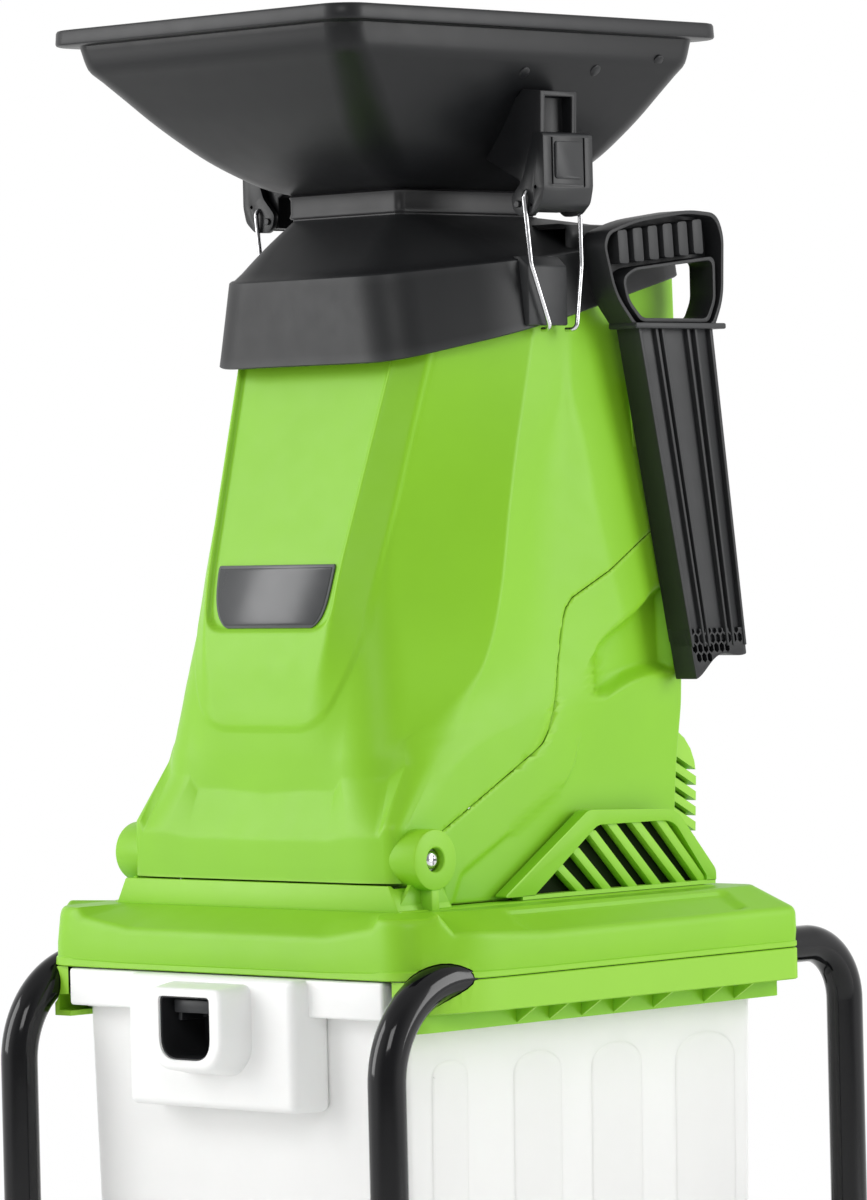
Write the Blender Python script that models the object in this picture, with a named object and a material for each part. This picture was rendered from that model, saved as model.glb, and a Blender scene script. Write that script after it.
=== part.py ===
"""Electric garden chipper: tower with feed hopper over a slide-out chip box, on a tube frame.

Frame of the part: +X to the machine's own left side panel, -Y to its front, +Z up, the origin on the
floor under the middle of its bounding box. Lengths below are in millimetres from the hinge axis
of the upper housing (x across, y to the rear, z up); mm() turns them into metres in the part's frame.
"""
import math

import bmesh
import bpy
from mathutils import Matrix, Vector

# ---------------------------------------------------------------- driving dimensions (mm)
HINGE_Z = 467.0          # height of the tilting axis over the floor
HINGE_Y = -189.0         # the tilting axis in front of the middle of the part
GAP = 0.4                # running gap between touching pieces
WALL = 3.2               # housing wall

RIM_X, RIM_Y0, RIM_Y1, RIM_Z = 160.0, -75.0, 341.0, 623.0     # hopper rim
NECK_X, NECK_Y0, NECK_Y1, NECK_Z = 58.5, 82.0, 232.0, 477.6    # hopper neck
LATCH_Y = 159.0          # middle of the two hopper latches
LATCH_X, LATCH_Z = 133.0, 482.0    # pivot of a latch lever
BAIL_X, BAIL_Z = 142.5, 491.0      # pivot of its wire bail
TOWER_X = 140.0          # half width of the tower
BOSS_R, BOSS_X = 22.8, 159.0       # hinge bosses
SWING_R = 31.8           # radius of the skirt's corner about the tilting axis
TUBE_R, TUBE_X = 14.0, 195.0       # frame tube
LEG_Y0, LEG_Y1, TUBE_Z = -93.0, 414.0, -84.0
LID_X, LID_Y0, LID_Y1 = 213.0, -67.0, 348.0
BASE_X, BASE_Z, SKIRT_Z = 192.0, -122.0, -108.5                # recessed wall under the lid's skirt
GUSSETS = (47.0, 82.0, 117.0, 152.0, 196.0, 253.0, 288.0)      # triangular webs under the skirt
BOX_X, BOX_Y0, BOX_Y1, BOX_Z0, BOX_Z1 = 167.0, -51.0, 343.0, -412.0, -88.0
WHEEL_R, AXLE_Y, AXLE_Z = 75.0, 414.0, -392.0
DISC_Y, DISC_Z, DISC_TILT = 148.0, 172.0, 27.0                # cutting disc
TOP_EDGE, TOP_SLOPE = 380.0, 0.215                            # top edge of the tower under the collar
MODULE, GEAR_TEETH, PINION_TEETH = 1.25, 48, 12
GEAR_DIST = MODULE * (GEAR_TEETH + PINION_TEETH) / 2.0

# ---------------------------------------------------------------- colours: base, roughness, metallic
LOOKS = {
    "green_plastic": ((0.26, 0.56, 0.03), 0.42, 0.0),
    "black_plastic": ((0.018, 0.019, 0.021), 0.38, 0.0),
    "dark_label": ((0.05, 0.055, 0.06), 0.35, 0.0),
    "white_plastic": ((0.78, 0.80, 0.80), 0.35, 0.0),
    "black_paint": ((0.010, 0.010, 0.012), 0.18, 0.0),
    "rubber": ((0.02, 0.02, 0.02), 0.8, 0.0),
    "chrome": ((0.80, 0.80, 0.82), 0.15, 1.0),
    "steel": ((0.55, 0.55, 0.56), 0.30, 1.0),
    "aluminium": ((0.70, 0.71, 0.72), 0.40, 1.0),
    "brass": ((0.75, 0.52, 0.22), 0.30, 1.0),
    "red_plastic": ((0.60, 0.03, 0.02), 0.35, 0.0),
    "start_green": ((0.05, 0.45, 0.12), 0.35, 0.0),
}


def mm(p):
    return Vector((p[0], p[1] + HINGE_Y, p[2] + HINGE_Z)) * 0.001


def material(slot):
    mat = bpy.data.materials.get(slot)
    if mat is None:
        base, rough, metal = LOOKS[slot]
        mat = bpy.data.materials.new(slot)
        mat.use_nodes = True
        shader = mat.node_tree.nodes["Principled BSDF"]
        shader.inputs["Base Color"].default_value = (*base, 1.0)
        shader.inputs["Roughness"].default_value = rough
        shader.inputs["Metallic"].default_value = metal
    return mat


# ---------------------------------------------------------------- mesh helpers (mm in, metres out)
def mesh_object(name, verts, faces):
    bm = bmesh.new()
    pts = [bm.verts.new(mm(v)) for v in verts]
    for f in faces:
        bm.faces.new([pts[i] for i in f])
    bmesh.ops.recalc_face_normals(bm, faces=bm.faces)
    split_warped(bm)
    mesh = bpy.data.meshes.new(name)
    bm.to_mesh(mesh)
    bm.free()
    obj = bpy.data.objects.new(name, mesh)
    bpy.context.scene.collection.objects.link(obj)
    return obj


def split_warped(bm):
    """Triangulate the faces that aren't flat, so that a Boolean reads them as they are."""
    warped = []
    for f in bm.faces:
        f.normal_update()
        centre = f.calc_center_median()
        if len(f.verts) > 3 and max(abs((v.co - centre).dot(f.normal)) for v in f.verts) > 1e-7:
            warped.append(f)
    bmesh.ops.triangulate(bm, faces=warped)


def loft(name, rings, closed=False):
    n = len(rings[0])
    verts = [p for ring in rings for p in ring]
    faces = []
    last = len(rings) if closed else len(rings) - 1
    for i in range(last):
        a, b = i * n, ((i + 1) % len(rings)) * n
        for j in range(n):
            k = (j + 1) % n
            faces.append((a + j, a + k, b + k, b + j))
    if not closed:
        faces.append(tuple(range(n)))
        faces.append(tuple(reversed(range((len(rings) - 1) * n, len(rings) * n))))
    return mesh_object(name, verts, faces)


def box(name, x0, x1, y0, y1, z0, z1):
    return loft(name, [[(x0, y0, z), (x1, y0, z), (x1, y1, z), (x0, y1, z)] for z in (z0, z1)])


def prism_x(name, yz, x0, x1):
    return loft(name, [[(x, y, z) for y, z in yz] for x in (x0, x1)])


def prism_y(name, xz, y0, y1):
    return loft(name, [[(x, y, z) for x, z in xz] for y in (y0, y1)])


def prism_z(name, xy, z0, z1):
    return loft(name, [[(x, y, z) for x, y in xy] for z in (z0, z1)])


def frame_of(direction):
    d = Vector(direction).normalized()
    ref = Vector((1, 0, 0)) if abs(d.x) < 0.9 else Vector((0, 1, 0))
    u = (ref - d * ref.dot(d)).normalized()
    return u, d.cross(u), d


def turned(name, start, direction, profile, n=24, phase=0.0):
    """A closed turned body: profile of (radius, distance along the axis) points, both ends solid."""
    u, v, d = frame_of(direction)
    base = Vector(start)
    rings = []
    for r, w in profile:
        ring = []
        for k in range(n):
            a = 2 * math.pi * (k + phase) / n
            ring.append(tuple(base + d * w + (u * math.cos(a) + v * math.sin(a)) * r))
        rings.append(ring)
    return loft(name, rings)


def ring_body(name, start, direction, profile, n=24):
    """A closed turned ring: the profile goes round the section once, clear of the axis."""
    u, v, d = frame_of(direction)
    base = Vector(start)
    rings = []
    for r, w in profile:
        rings.append([tuple(base + d * w + (u * math.cos(2 * math.pi * k / n)
                                           + v * math.sin(2 * math.pi * k / n)) * r) for k in range(n)])
    return loft(name, rings, closed=True)


def rod(name, a, b, r, n=16):
    d = Vector(b) - Vector(a)
    return turned(name, a, d, [(r, 0.0), (r, d.length)], n)


def tube_path(name, path, r, n=12):
    """A solid round bar swept along a path that stays in one plane or close to it."""
    pts = [Vector(p) for p in path]
    rings = []
    u = None
    for i, p in enumerate(pts):
        before = (p - pts[i - 1]).normalized() if i else (pts[1] - p).normalized()
        after = (pts[i + 1] - p).normalized() if i < len(pts) - 1 else before
        d = (before + after).normalized()
        if u is None:
            u = frame_of(d)[0]
        u = (u - d * u.dot(d)).normalized()
        v = d.cross(u)
        stretch = 1.0 / max(0.5, before.dot(d))
        bend = (after - before)
        axis = bend.normalized() if bend.length > 1e-6 else None
        ring = []
        for k in range(n):
            a = 2 * math.pi * (k + 0.5) / n
            off = (u * math.cos(a) + v * math.sin(a)) * r
            if axis is not None:
                off += axis * off.dot(axis) * (stretch - 1.0)
            ring.append(tuple(p + off))
        rings.append(ring)
    return loft(name, rings)


def arc(centre, r, a0, a1, n):
    """Points (y, z) of an arc, angles in degrees from +Y towards +Z."""
    cy, cz = centre
    out = []
    for i in range(n + 1):
        a = math.radians(a0 + (a1 - a0) * i / n)
        out.append((cy + r * math.cos(a), cz + r * math.sin(a)))
    return out


def rounded(x, y0, y1, r, seg=3):
    """Rounded rectangle, symmetric in x, counterclockwise."""
    out = []
    for cx, cy, a0 in ((x - r, y1 - r, 0), (-x + r, y1 - r, 90), (-x + r, y0 + r, 180), (x - r, y0 + r, 270)):
        for i in range(seg + 1):
            a = math.radians(a0 + 90.0 * i / seg)
            out.append((cx + r * math.cos(a), cy + r * math.sin(a)))
    return out


def combine(target, tool, operation):
    mod = target.modifiers.new("bool", "BOOLEAN")
    mod.operation = operation
    mod.solver = "EXACT"
    mod.object = tool
    bpy.context.view_layer.update()
    result = bpy.data.meshes.new_from_object(target.evaluated_get(bpy.context.evaluated_depsgraph_get()))
    target.modifiers.clear()
    old = target.data
    target.data = result
    bpy.data.meshes.remove(old)
    tool_mesh = tool.data
    bpy.data.objects.remove(tool)
    bpy.data.meshes.remove(tool_mesh)
    return target


def cut(target, *tools):
    for tool in tools:
        combine(target, tool, "DIFFERENCE")
    return target


def join(target, *tools):
    for tool in tools:
        combine(target, tool, "UNION")
    return target


def keep(target, tool):
    return combine(target, tool, "INTERSECT")


def finish(obj, name, slot, pivot=None, angle=32.0):
    """Name, colour and shade one sub-part, with its origin on its joint's axis."""
    obj.name = name
    obj.data.name = name
    mesh = obj.data
    bm = bmesh.new()
    bm.from_mesh(mesh)
    bmesh.ops.remove_doubles(bm, verts=bm.verts, dist=0.00002)
    bmesh.ops.dissolve_degenerate(bm, edges=bm.edges, dist=0.00002)
    split_warped(bm)
    bm.to_mesh(mesh)
    bm.free()
    mesh.materials.clear()
    mesh.materials.append(material(slot))
    mesh.shade_smooth()
    mesh.set_sharp_from_angle(angle=math.radians(angle))
    if pivot is not None:
        origin = mm(pivot)
        mesh.transform(Matrix.Translation(-origin))
        obj.location = origin
    return obj


def mirror_x(obj, name):
    """A left-hand copy with its own mesh."""
    mesh = obj.data.copy()
    mesh.transform(Matrix.Scale(-1.0, 4, Vector((1, 0, 0))))
    mesh.flip_normals()
    copy = bpy.data.objects.new(name, mesh)
    mesh.name = name
    copy.location = (-obj.location.x, obj.location.y, obj.location.z)
    bpy.context.scene.collection.objects.link(copy)
    return copy


# ---------------------------------------------------------------- tower outline
def rear_y(z):
    return 299.0 + 0.09 * (z - 14.0)


# height: front half width, front y, side half width, crease y, facet y, rear corner half width
LEVELS = [
    (-35.6, 137.0, -27.0, 140.0, -20.0, 285.0, 131.0),
    (13.0, 137.0, -27.0, 140.0, -20.0, 280.0, 131.0),
    (33.0, 112.0, -26.0, 140.0, -18.0, 280.0, 131.0),
    (59.0, 97.0, -25.0, 140.0, -14.0, 282.0, 131.0),
    (114.0, 88.0, -12.0, 140.0, 70.0, 284.0, 130.0),
    (126.0, 86.0, -10.0, 140.0, 80.0, 228.0, 121.0),
    (217.0, 76.0, 6.0, 138.0, 114.0, 220.0, 118.0),
    (343.0, 72.0, 33.0, 130.0, 138.0, 188.0, 110.0),
    (500.0, 66.0, 60.0, 112.0, 138.0, 176.0, 94.0),
]


def tower_ring(level, inset=0.0, zs=None):
    z, a, yf, w, yc, ys, c = level
    yr = rear_y(max(z, 14.0)) - inset
    a, c, w, yf = a - 0.7 * inset, c - 0.8 * inset, w - inset, yf + inset
    half = [(a, yf), (w, yc + 0.3 * inset), (w, ys - 0.4 * inset), (c, yr)]
    ring = [(x, y, z) for x, y in half] + [(-x, y, z) for x, y in reversed(half)]
    return ring


def tower(name, inset=0.0, low=None, high=None):
    levels = list(LEVELS)
    if low is not None:
        levels[0] = (low,) + levels[0][1:]
    if high is not None:
        levels[-1] = (high,) + levels[-1][1:]
    return loft(name, [tower_ring(lv, inset) for lv in levels])


SPLIT = [(134.5, 76.0), (145.5, 89.0), (155.5, 117.0), (170.5, 176.0), (183.5, 189.0), (262.5, 228.0),
         (400.0, 291.0)]


def split_line(shift):
    """The parting line of the two housings from the tilting axis to the rear, moved up by shift."""
    s = shift
    a0 = 37.0
    swing = arc((0.0, 0.0), SWING_R + (0.0 if s > 0 else 0.7), -32.0, a0 - (4.0 if s > 0 else 6.5), 8)
    line = [(y - s * 0.5, z + s * 0.85) for y, z in SPLIT]
    return swing + line


def upper_region(name):
    pts = split_line(0.35)
    # the top edge slopes up to the rear inside the collar
    return prism_x(name, [(-80.0, -17.0)] + pts + [(400.0, TOP_EDGE + TOP_SLOPE * 366.0),
                                                  (-80.0, TOP_EDGE - TOP_SLOPE * 114.0)], -200.0, 200.0)


def lower_region(name):
    pts = split_line(-0.35)
    return prism_x(name, pts + [(400.0, -35.6), (28.0, -35.6)], -200.0, 200.0)


def build_upper_housing():
    body = tower("upper", 0.0, low=-30.0, high=500.0)
    body = cut(body, tower("inner", WALL, low=-40.0, high=520.0))
    body = keep(body, upper_region("region"))
    # sunk front panel with a round lower end
    panel = prism_y("panel", [(-64.0, 420.0), (-64.0, 160.0), (-62.0, 110.0), (-50.0, 92.0), (50.0, 92.0),
                              (62.0, 110.0), (64.0, 160.0), (64.0, 420.0)], -4.0, 4.0)
    panel.data.transform(Matrix.Translation(-mm((0, 0, 217))))
    panel.data.transform(Matrix.Rotation(-math.atan(0.19), 4, "X"))
    panel.data.transform(Matrix.Translation(mm((0, 3.5, 217))))
    cut(body, panel)
    for side in (1, -1):
        # ear of the hinge, clear of the outer boss
        join(body, rod("ear", (side * 90.0, 0, 0), (side * 120.6, 0, 0), BOSS_R, 20))
        join(body, box("rib", *sorted((side * 99.0, side * 119.0)), -25.4, -6.0, -15.0, 21.0))
        cut(body, rod("clear", (side * 121.0, 0, 0), (side * 175.0, 0, 0), BOSS_R + 0.6, 20))
        cut(body, rod("bore", (side * 80.0, 0, 0), (side * 130.0, 0, 0), 6.4, 16))
    # the ears are hollow inside the skirt
    cut(body, box("throat", -97.0, 97.0, -22.0, 60.0, -30.0, 40.0))
    return finish(body, "upper_housing", "green_plastic", (0, 0, 0))


def vent_outline(grow=0.0):
    g = grow
    return [(100.0 - g * 1.6, -33.0), (175.0 - g * 0.6, 29.0 + g), (262.0, 29.0 + g), (283.0 + g * 0.6, 14.0 + g * 0.6),
            (292.0 + g, -8.0), (298.0 + g, -33.0)]


def build_rear_housing():
    body = tower("rear", 0.0, low=-35.6, high=440.0)
    body = cut(body, tower("inner", WALL, low=-50.0, high=460.0))
    body = keep(body, lower_region("region"))
    # rear window under the vent cover, side windows under the grilles
    cut(body, box("window", -90.0, 90.0, 280.0, 330.0, -4.0, 72.0))
    for side in (1, -1):
        cut(body, prism_x("side", [(125.0, -24.0), (181.0, 22.0), (262.0, 22.0), (272.0, 12.0), (278.0, -24.0)],
                          side * 130.0, side * 150.0))
    return finish(body, "rear_housing", "green_plastic")


def build_side_vent():
    body = prism_x("vent", vent_outline(0.0), TOWER_X + GAP, 152.0)
    cut(body, prism_x("hole", [(124.0, -25.0), (179.0, 20.0), (260.0, 20.0), (272.0, 8.0), (279.0, -25.0)],
                      130.0, 160.0))
    for k in range(7):
        y = 128.0 + 24.0 * k
        slat = prism_x("slat", [(y, 32.0), (y + 7.0, 32.0), (y + 42.0, -36.0), (y + 35.0, -36.0)], 142.5, 149.0)
        slat = keep(slat, prism_x("clip", [(121.0, -28.0), (178.0, 22.0), (262.0, 22.0), (275.0, 9.0),
                                           (283.0, -28.0)], 130.0, 160.0))
        join(body, slat)
    return finish(body, "side_vent_left", "green_plastic")


def build_rear_vent_cover():
    side = [(rear_y(14.0) + GAP, -18.0)] + arc((312.0, 2.0), 20.0, -80.0, -10.0, 3) \
        + arc((294.0, 46.0), 40.0, 0.0, 62.0, 4) + [(rear_y(86.0) + GAP, 88.0)]
    body = prism_x("cover", side, -118.0, 118.0)
    # front face follows the rear wall of the housing
    cut(body, prism_x("wall", [(250.0, -40.0), (rear_y(14.0) + GAP, -40.0), (rear_y(14.0) + GAP, 14.0),
                               (rear_y(120.0) + GAP, 120.0), (250.0, 120.0)], -130.0, 130.0))
    cut(body, prism_x("hollow", [(280.0, -8.0), (316.0, -8.0), (329.0, 8.0), (329.0, 44.0), (318.0, 66.0),
                                 (280.0, 74.0)], -112.0, 112.0))
    for k in range(6):
        z = -4.0 + 12.0 * k
        for s in (1, -1):
            cut(body, prism_x("slot", [(301.0, z + 6.0), (301.0, z + 11.0), (340.0, z - 9.0), (340.0, z - 14.0)],
                              s * 108.0, s * 122.0))
    return finish(body, "rear_vent_cover", "green_plastic")


# ---------------------------------------------------------------- lid of the chip box
def lid_ring(x, y0, y1, cx, cy, z):
    half = [(x - cx, y0), (x, y0 + cy), (x, y1 - 8.0), (x - 12.0, y1)]
    return [(px, py, z) for px, py in half] + [(-px, py, z) for px, py in reversed(half)]


def tube_route(r_front=72.0, r_rear=46.0):
    x = TUBE_X
    pts = [(x, LEG_Y0, -459.0), (x, LEG_Y0, TUBE_Z - r_front - 40.0)]
    for y, z in arc((LEG_Y0 + r_front, TUBE_Z - r_front), r_front, 180.0, 90.0, 7):
        pts.append((x, y, z))
    for y, z in arc((LEG_Y1 - r_rear, TUBE_Z - r_rear), r_rear, 90.0, 0.0, 6):
        pts.append((x, y, z))
    pts.append((x, LEG_Y1, -418.0))
    return pts


def build_lid_top():
    outer = loft("lid", [lid_ring(213.0, -67.0, 348.0, 25.0, 57.0, TUBE_Z + 0.2),
                         lid_ring(213.0, -64.0, 347.0, 30.0, 56.0, -55.0),
                         lid_ring(182.0, -34.0, 333.0, 26.0, 40.0, -37.0)])
    inner = loft("lid_in", [lid_ring(209.8, -63.8, 344.8, 25.0, 57.0, TUBE_Z - 5.0),
                            lid_ring(209.8, -60.8, 343.8, 30.0, 56.0, -57.0),
                            lid_ring(179.0, -32.0, 330.0, 26.0, 40.0, -40.2)])
    body = cut(outer, inner)
    # raised step that carries the tower
    join(body, loft("step", [[(154, -30, -41), (161, 14, -41), (161, 312, -41), (-161, 312, -41), (-161, 14, -41),
                              (-154, -30, -41)],
                             [(152.5, -30, -36), (157, 14, -36), (157, 308, -36), (-157, 308, -36),
                              (-157, 14, -36), (-152.5, -30, -36)]]))
    # low wall under the front skirt and the chip outlet
    join(body, loft("wall", [[(150, -30.5, -37), (150, 26, -37), (-150, 26, -37), (-150, -30.5, -37)],
                             [(139.5, -30.5, -18), (139.5, 26, -18), (-139.5, 26, -18), (-139.5, -30.5, -18)]]))
    cut(body, box("outlet", -138.4, 138.4, -27.6, 120.0, -60.0, 10.0))
    cut(body, rod("swing", (-TOWER_X - 0.6, 0, 0), (TOWER_X + 0.6, 0, 0), SWING_R + 0.9, 40))
    cut(body, box("rear_open", -120.0, 120.0, 150.0, 280.0, -60.0, -30.0))
    for side in (1, -1):
        join(body, prism_y("web", [(side * 141.0, -38.0), (side * 158.8, -38.0), (side * 158.8, -14.0),
                                   (side * 141.0, -14.0)], -9.0, 9.0))
        join(body, rod("boss", (side * 121.2, 0, 0), (side * BOSS_X, 0, 0), BOSS_R, 20))
        cut(body, rod("bore", (side * 115.0, 0, 0), (side * 150.0, 0, 0), 6.4, 16))
        cut(body, rod("sink", (side * 149.0, 0, 0), (side * 170.0, 0, 0), 9.0, 16))
    for side in (1, -1):
        path = [(side * x, y, z) for x, y, z in tube_route()]
        cut(body, tube_path("tube", path, TUBE_R + 0.6, 12))
    return finish(body, "lid_top", "green_plastic")


def build_lid_base():
    outer = loft("base", [lid_ring(BASE_X, -75.0, 348.0, 10.0, 25.0, BASE_Z),
                          lid_ring(BASE_X, -75.0, 348.0, 10.0, 25.0, SKIRT_Z - 1.0),
                          lid_ring(213.0, -67.0, 348.0, 25.0, 57.0, SKIRT_Z),
                          lid_ring(213.0, -67.0, 348.0, 25.0, 57.0, TUBE_Z - 0.3)])
    inner = loft("base_in", [lid_ring(BASE_X - WALL, -90.0, 344.8, 10.0, 10.0, BASE_Z + 4.0),
                             lid_ring(BASE_X - WALL, -90.0, 344.8, 10.0, 10.0, SKIRT_Z + 2.0),
                             lid_ring(209.8, -90.0, 344.8, 10.0, 10.0, SKIRT_Z + 3.0),
                             lid_ring(209.8, -90.0, 344.8, 10.0, 10.0, TUBE_Z + 5.0)])
    body = cut(outer, inner)
    # the front is open for the box, the rails stay
    cut(body, box("mouth", -170.0, 170.0, -100.0, 345.5, -130.0, -70.0))
    cut(body, box("front", -220.0, 220.0, -100.0, -46.0, -130.0, -70.0))
    for side in (1, -1):
        path = [(side * x, y, z) for x, y, z in tube_route()]
        cut(body, tube_path("tube", path, TUBE_R + 0.6, 12))
        for y in GUSSETS:
            rib = prism_y("rib", [(side * (BASE_X - 1.0), BASE_Z + 0.5), (side * (BASE_X - 1.0), SKIRT_Z + 1.0),
                                  (side * 212.0, SKIRT_Z + 1.0)], y, y + 2.2)
            join(body, rib)
    return finish(body, "lid_base", "green_plastic")


# ---------------------------------------------------------------- hopper, collar, chute, latches
BOWL = [(493.0, 0.0), (498.0, 0.13), (506.0, 0.25), (522.0, 0.444), (537.0, 0.583), (553.0, 0.708),
        (569.0, 0.815), (584.0, 0.912), (593.0, 0.968), (610.0, 1.0)]


def bowl_ring(k, z, inset=0.0):
    x = NECK_X + (147.0 - NECK_X) * k - inset
    y0 = NECK_Y0 + (-62.0 - NECK_Y0) * k ** 1.08 + inset
    y1 = NECK_Y1 + (328.0 - NECK_Y1) * k ** 0.92 - inset
    return [(px, py, z) for px, py in rounded(x, y0, y1, 6.0 + 16.0 * k)]


def rect_ring(x, y0, y1, r, z):
    return [(px, py, z) for px, py in rounded(x, y0, y1, r)]


def build_hopper():
    rings = [rect_ring(NECK_X, NECK_Y0, NECK_Y1, 6.0, NECK_Z)]
    rings += [bowl_ring(k, z) for z, k in BOWL]
    rings += [rect_ring(RIM_X - 1.5, RIM_Y0 + 1.5, RIM_Y1 - 1.5, 22.0, 610.5),
              rect_ring(RIM_X, RIM_Y0, RIM_Y1, 22.0, 612.5),
              rect_ring(RIM_X - 1.0, RIM_Y0 + 1.0, RIM_Y1 - 1.0, 22.0, RIM_Z),
              rect_ring(147.0, -62.0, 328.0, 20.0, RIM_Z - 1.0),
              rect_ring(144.0, -59.0, 325.0, 20.0, 612.0)]
    rings += [bowl_ring(k, z + 2.4, 2.6) for z, k in reversed(BOWL[1:-1])]
    rings += [rect_ring(NECK_X - 3.0, NECK_Y0 + 3.0, NECK_Y1 - 3.0, 5.0, 495.0),
              rect_ring(NECK_X - 3.0, NECK_Y0 + 3.0, NECK_Y1 - 3.0, 5.0, NECK_Z)]
    body = loft("hopper", rings, closed=True)
    for s in (1, -1):
        tongue = prism_y("tongue", [(s * 90.0, 520.0), (s * 128.0, 500.0), (s * 128.5, 476.5), (s * 138.5, 476.5),
                                    (s * 139.0, 500.0), (s * 150.0, 510.0), (s * 152.0, 566.0), (s * 133.0, 568.0),
                                    (s * 120.0, 556.0), (s * 95.0, 532.0)], 139.0, 179.0)
        cut(tongue, box("slot", *sorted((s * 143.0, s * 160.0)), 144.0, 174.0, 532.0, 562.0))
        join(body, tongue)
        join(body, rod("stud", (s * LATCH_X, 130.0, LATCH_Z), (s * LATCH_X, 188.0, LATCH_Z), 2.7, 12))
    return finish(body, "hopper", "black_plastic", (0, 0, 0))


def collar_ring(a, yf, w, yc, ys, c, yr, z0, slope, inset=0.0):
    half = [(a - 0.7 * inset, yf + inset), (w - inset, yc + 0.3 * inset), (w - inset, ys - 0.4 * inset),
            (c - 0.8 * inset, yr - inset)]
    ring = [(x, y, z0 + slope * (y - 34.0)) for x, y in half]
    return ring + [(-x, y, z) for x, y, z in reversed(ring)]


def collar_solid(name, inset, dz_low, dz_top):
    return loft(name, [
        collar_ring(90.0, 33.0, 134.0, 124.0, 184.0, 106.0, 343.0, 366.0 + dz_low, 0.215, inset),
        collar_ring(76.0, 34.0, 128.0, 124.0, 182.0, 103.0, 341.0, 431.0, 0.10, inset),
        collar_ring(56.0, 80.0, 62.0, 96.0, 216.0, 60.0, 236.0, 476.0 + dz_top, 0.0, inset * 0.6)])


def build_collar():
    body = collar_solid("collar", 0.0, 0.0, 1.0)
    hood = loft("hood", [[(x, y, z + (0.215 * (y - 34.0) if z < 400 else 0.0)) for x, y in
                          ((118.0, 205.0), (101.0, 340.0), (-101.0, 340.0), (-118.0, 205.0))]
                         for z in (372.0, 470.0)])
    join(body, hood)
    for s in (1, -1):
        join(body, prism_y("pad", [(s * 118.0, 392.0), (s * 137.0, 391.5), (s * 137.0, 436.0), (s * 128.0, 444.0),
                                   (s * 116.0, 444.0)], 137.0, 180.0))
    cut(body, collar_solid("collar_in", 3.0, -20.0, -3.0))
    cut(body, loft("hood_in", [[(x, y, z) for x, y in ((114.4, 210.0), (98.0, 336.8), (-98.0, 336.8),
                                                     (-114.4, 210.0))] for z in (350.0, 466.5)]))
    cut(body, box("mouth", -56.6, 56.6, NECK_Y0 + 1.5, NECK_Y1 - 1.5, 440.0, 500.0))
    return finish(body, "top_collar", "black_plastic", (0, 0, 0))


def disc_point(u, v, w):
    """Point in the cutting disc's own axes: u across, v up the slope to the rear, w along its axis."""
    a = math.radians(DISC_TILT)
    return (u, DISC_Y + v * math.cos(a) - w * math.sin(a), DISC_Z + v * math.sin(a) + w * math.cos(a))


DISC_AXIS = (0.0, -math.sin(math.radians(DISC_TILT)), math.cos(math.radians(DISC_TILT)))


def build_feed_chute():
    outer = loft("chute", [[(54.0, 96.0, 120.0), (54.0, 214.0, 120.0), (-54.0, 214.0, 120.0), (-54.0, 96.0, 120.0)],
                           [(54.0, 96.0, 260.0), (54.0, 214.0, 260.0), (-54.0, 214.0, 260.0), (-54.0, 96.0, 260.0)],
                           [(55.5, 85.0, 474.5), (55.5, 229.0, 474.5), (-55.5, 229.0, 474.5), (-55.5, 85.0, 474.5)]])
    inner = loft("chute_in", [[(51.0, 99.0, 100.0), (51.0, 211.0, 100.0), (-51.0, 211.0, 100.0), (-51.0, 99.0, 100.0)],
                              [(51.0, 99.0, 260.0), (51.0, 211.0, 260.0), (-51.0, 211.0, 260.0),
                               (-51.0, 99.0, 260.0)],
                              [(52.5, 88.0, 480.0), (52.5, 226.0, 480.0), (-52.5, 226.0, 480.0),
                               (-52.5, 88.0, 480.0)]])
    body = cut(outer, inner)
    low = disc_point(0, -160.0, 27.0)
    high = disc_point(0, 160.0, 27.0)
    cut(body, prism_x("below", [(low[1], low[2]), (high[1], high[2]), (high[1], 0.0), (low[1], 0.0)], -90.0, 90.0))
    # guard plate round the chute's foot
    return finish(body, "feed_chute", "black_plastic", (0, 0, 0))


def build_latch_lever():
    y0, y1 = LATCH_Y - 27.0, LATCH_Y + 27.0
    side = [(126.0, 487.0), (128.0, 478.0), (134.0, 473.0), (148.0, 474.0), (157.0, 482.0), (160.0, 494.0),
            (160.0, 533.0), (156.0, 535.0), (150.0, 535.0), (138.0, 500.0)]
    body = prism_y("lever", side, y0, y1)
    cut(body, prism_y("inside", [(110.0, 460.0), (147.5, 460.0), (152.0, 486.0), (154.0, 496.0), (154.0, 545.0),
                                 (110.0, 545.0)], y0 + 4.6, y1 - 4.6))
    join(body, box("pad", 159.0, 161.5, LATCH_Y - 15.0, LATCH_Y + 15.0, 500.0, 528.0))
    cut(body, rod("pivot", (LATCH_X, y0 - 5, LATCH_Z), (LATCH_X, y1 + 5, LATCH_Z), 3.1, 12))
    cut(body, rod("bail", (BAIL_X, y0 - 5, BAIL_Z), (BAIL_X, y1 + 5, BAIL_Z), 2.2, 12))
    return finish(body, "latch_lever_left", "black_plastic", (LATCH_X, LATCH_Y, LATCH_Z))


def build_bail():
    x = BAIL_X
    path = [(133.0, 155.5, 388.6), (139.5, 154.5, 388.4), (x, 153.5, 391.5), (x, 134.5, 437.0), (x, 128.4, 487.5),
            (x, 130.5, BAIL_Z), (x, 187.5, BAIL_Z), (x, 189.6, 487.5), (x, 190.0, 437.0), (x, 183.5, 391.5),
            (139.5, 182.5, 388.4), (133.0, 181.5, 388.6)]
    return finish(tube_path("bail", path, 1.75, 8), "bail_wire_left", "chrome", (BAIL_X, LATCH_Y, BAIL_Z))


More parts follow.
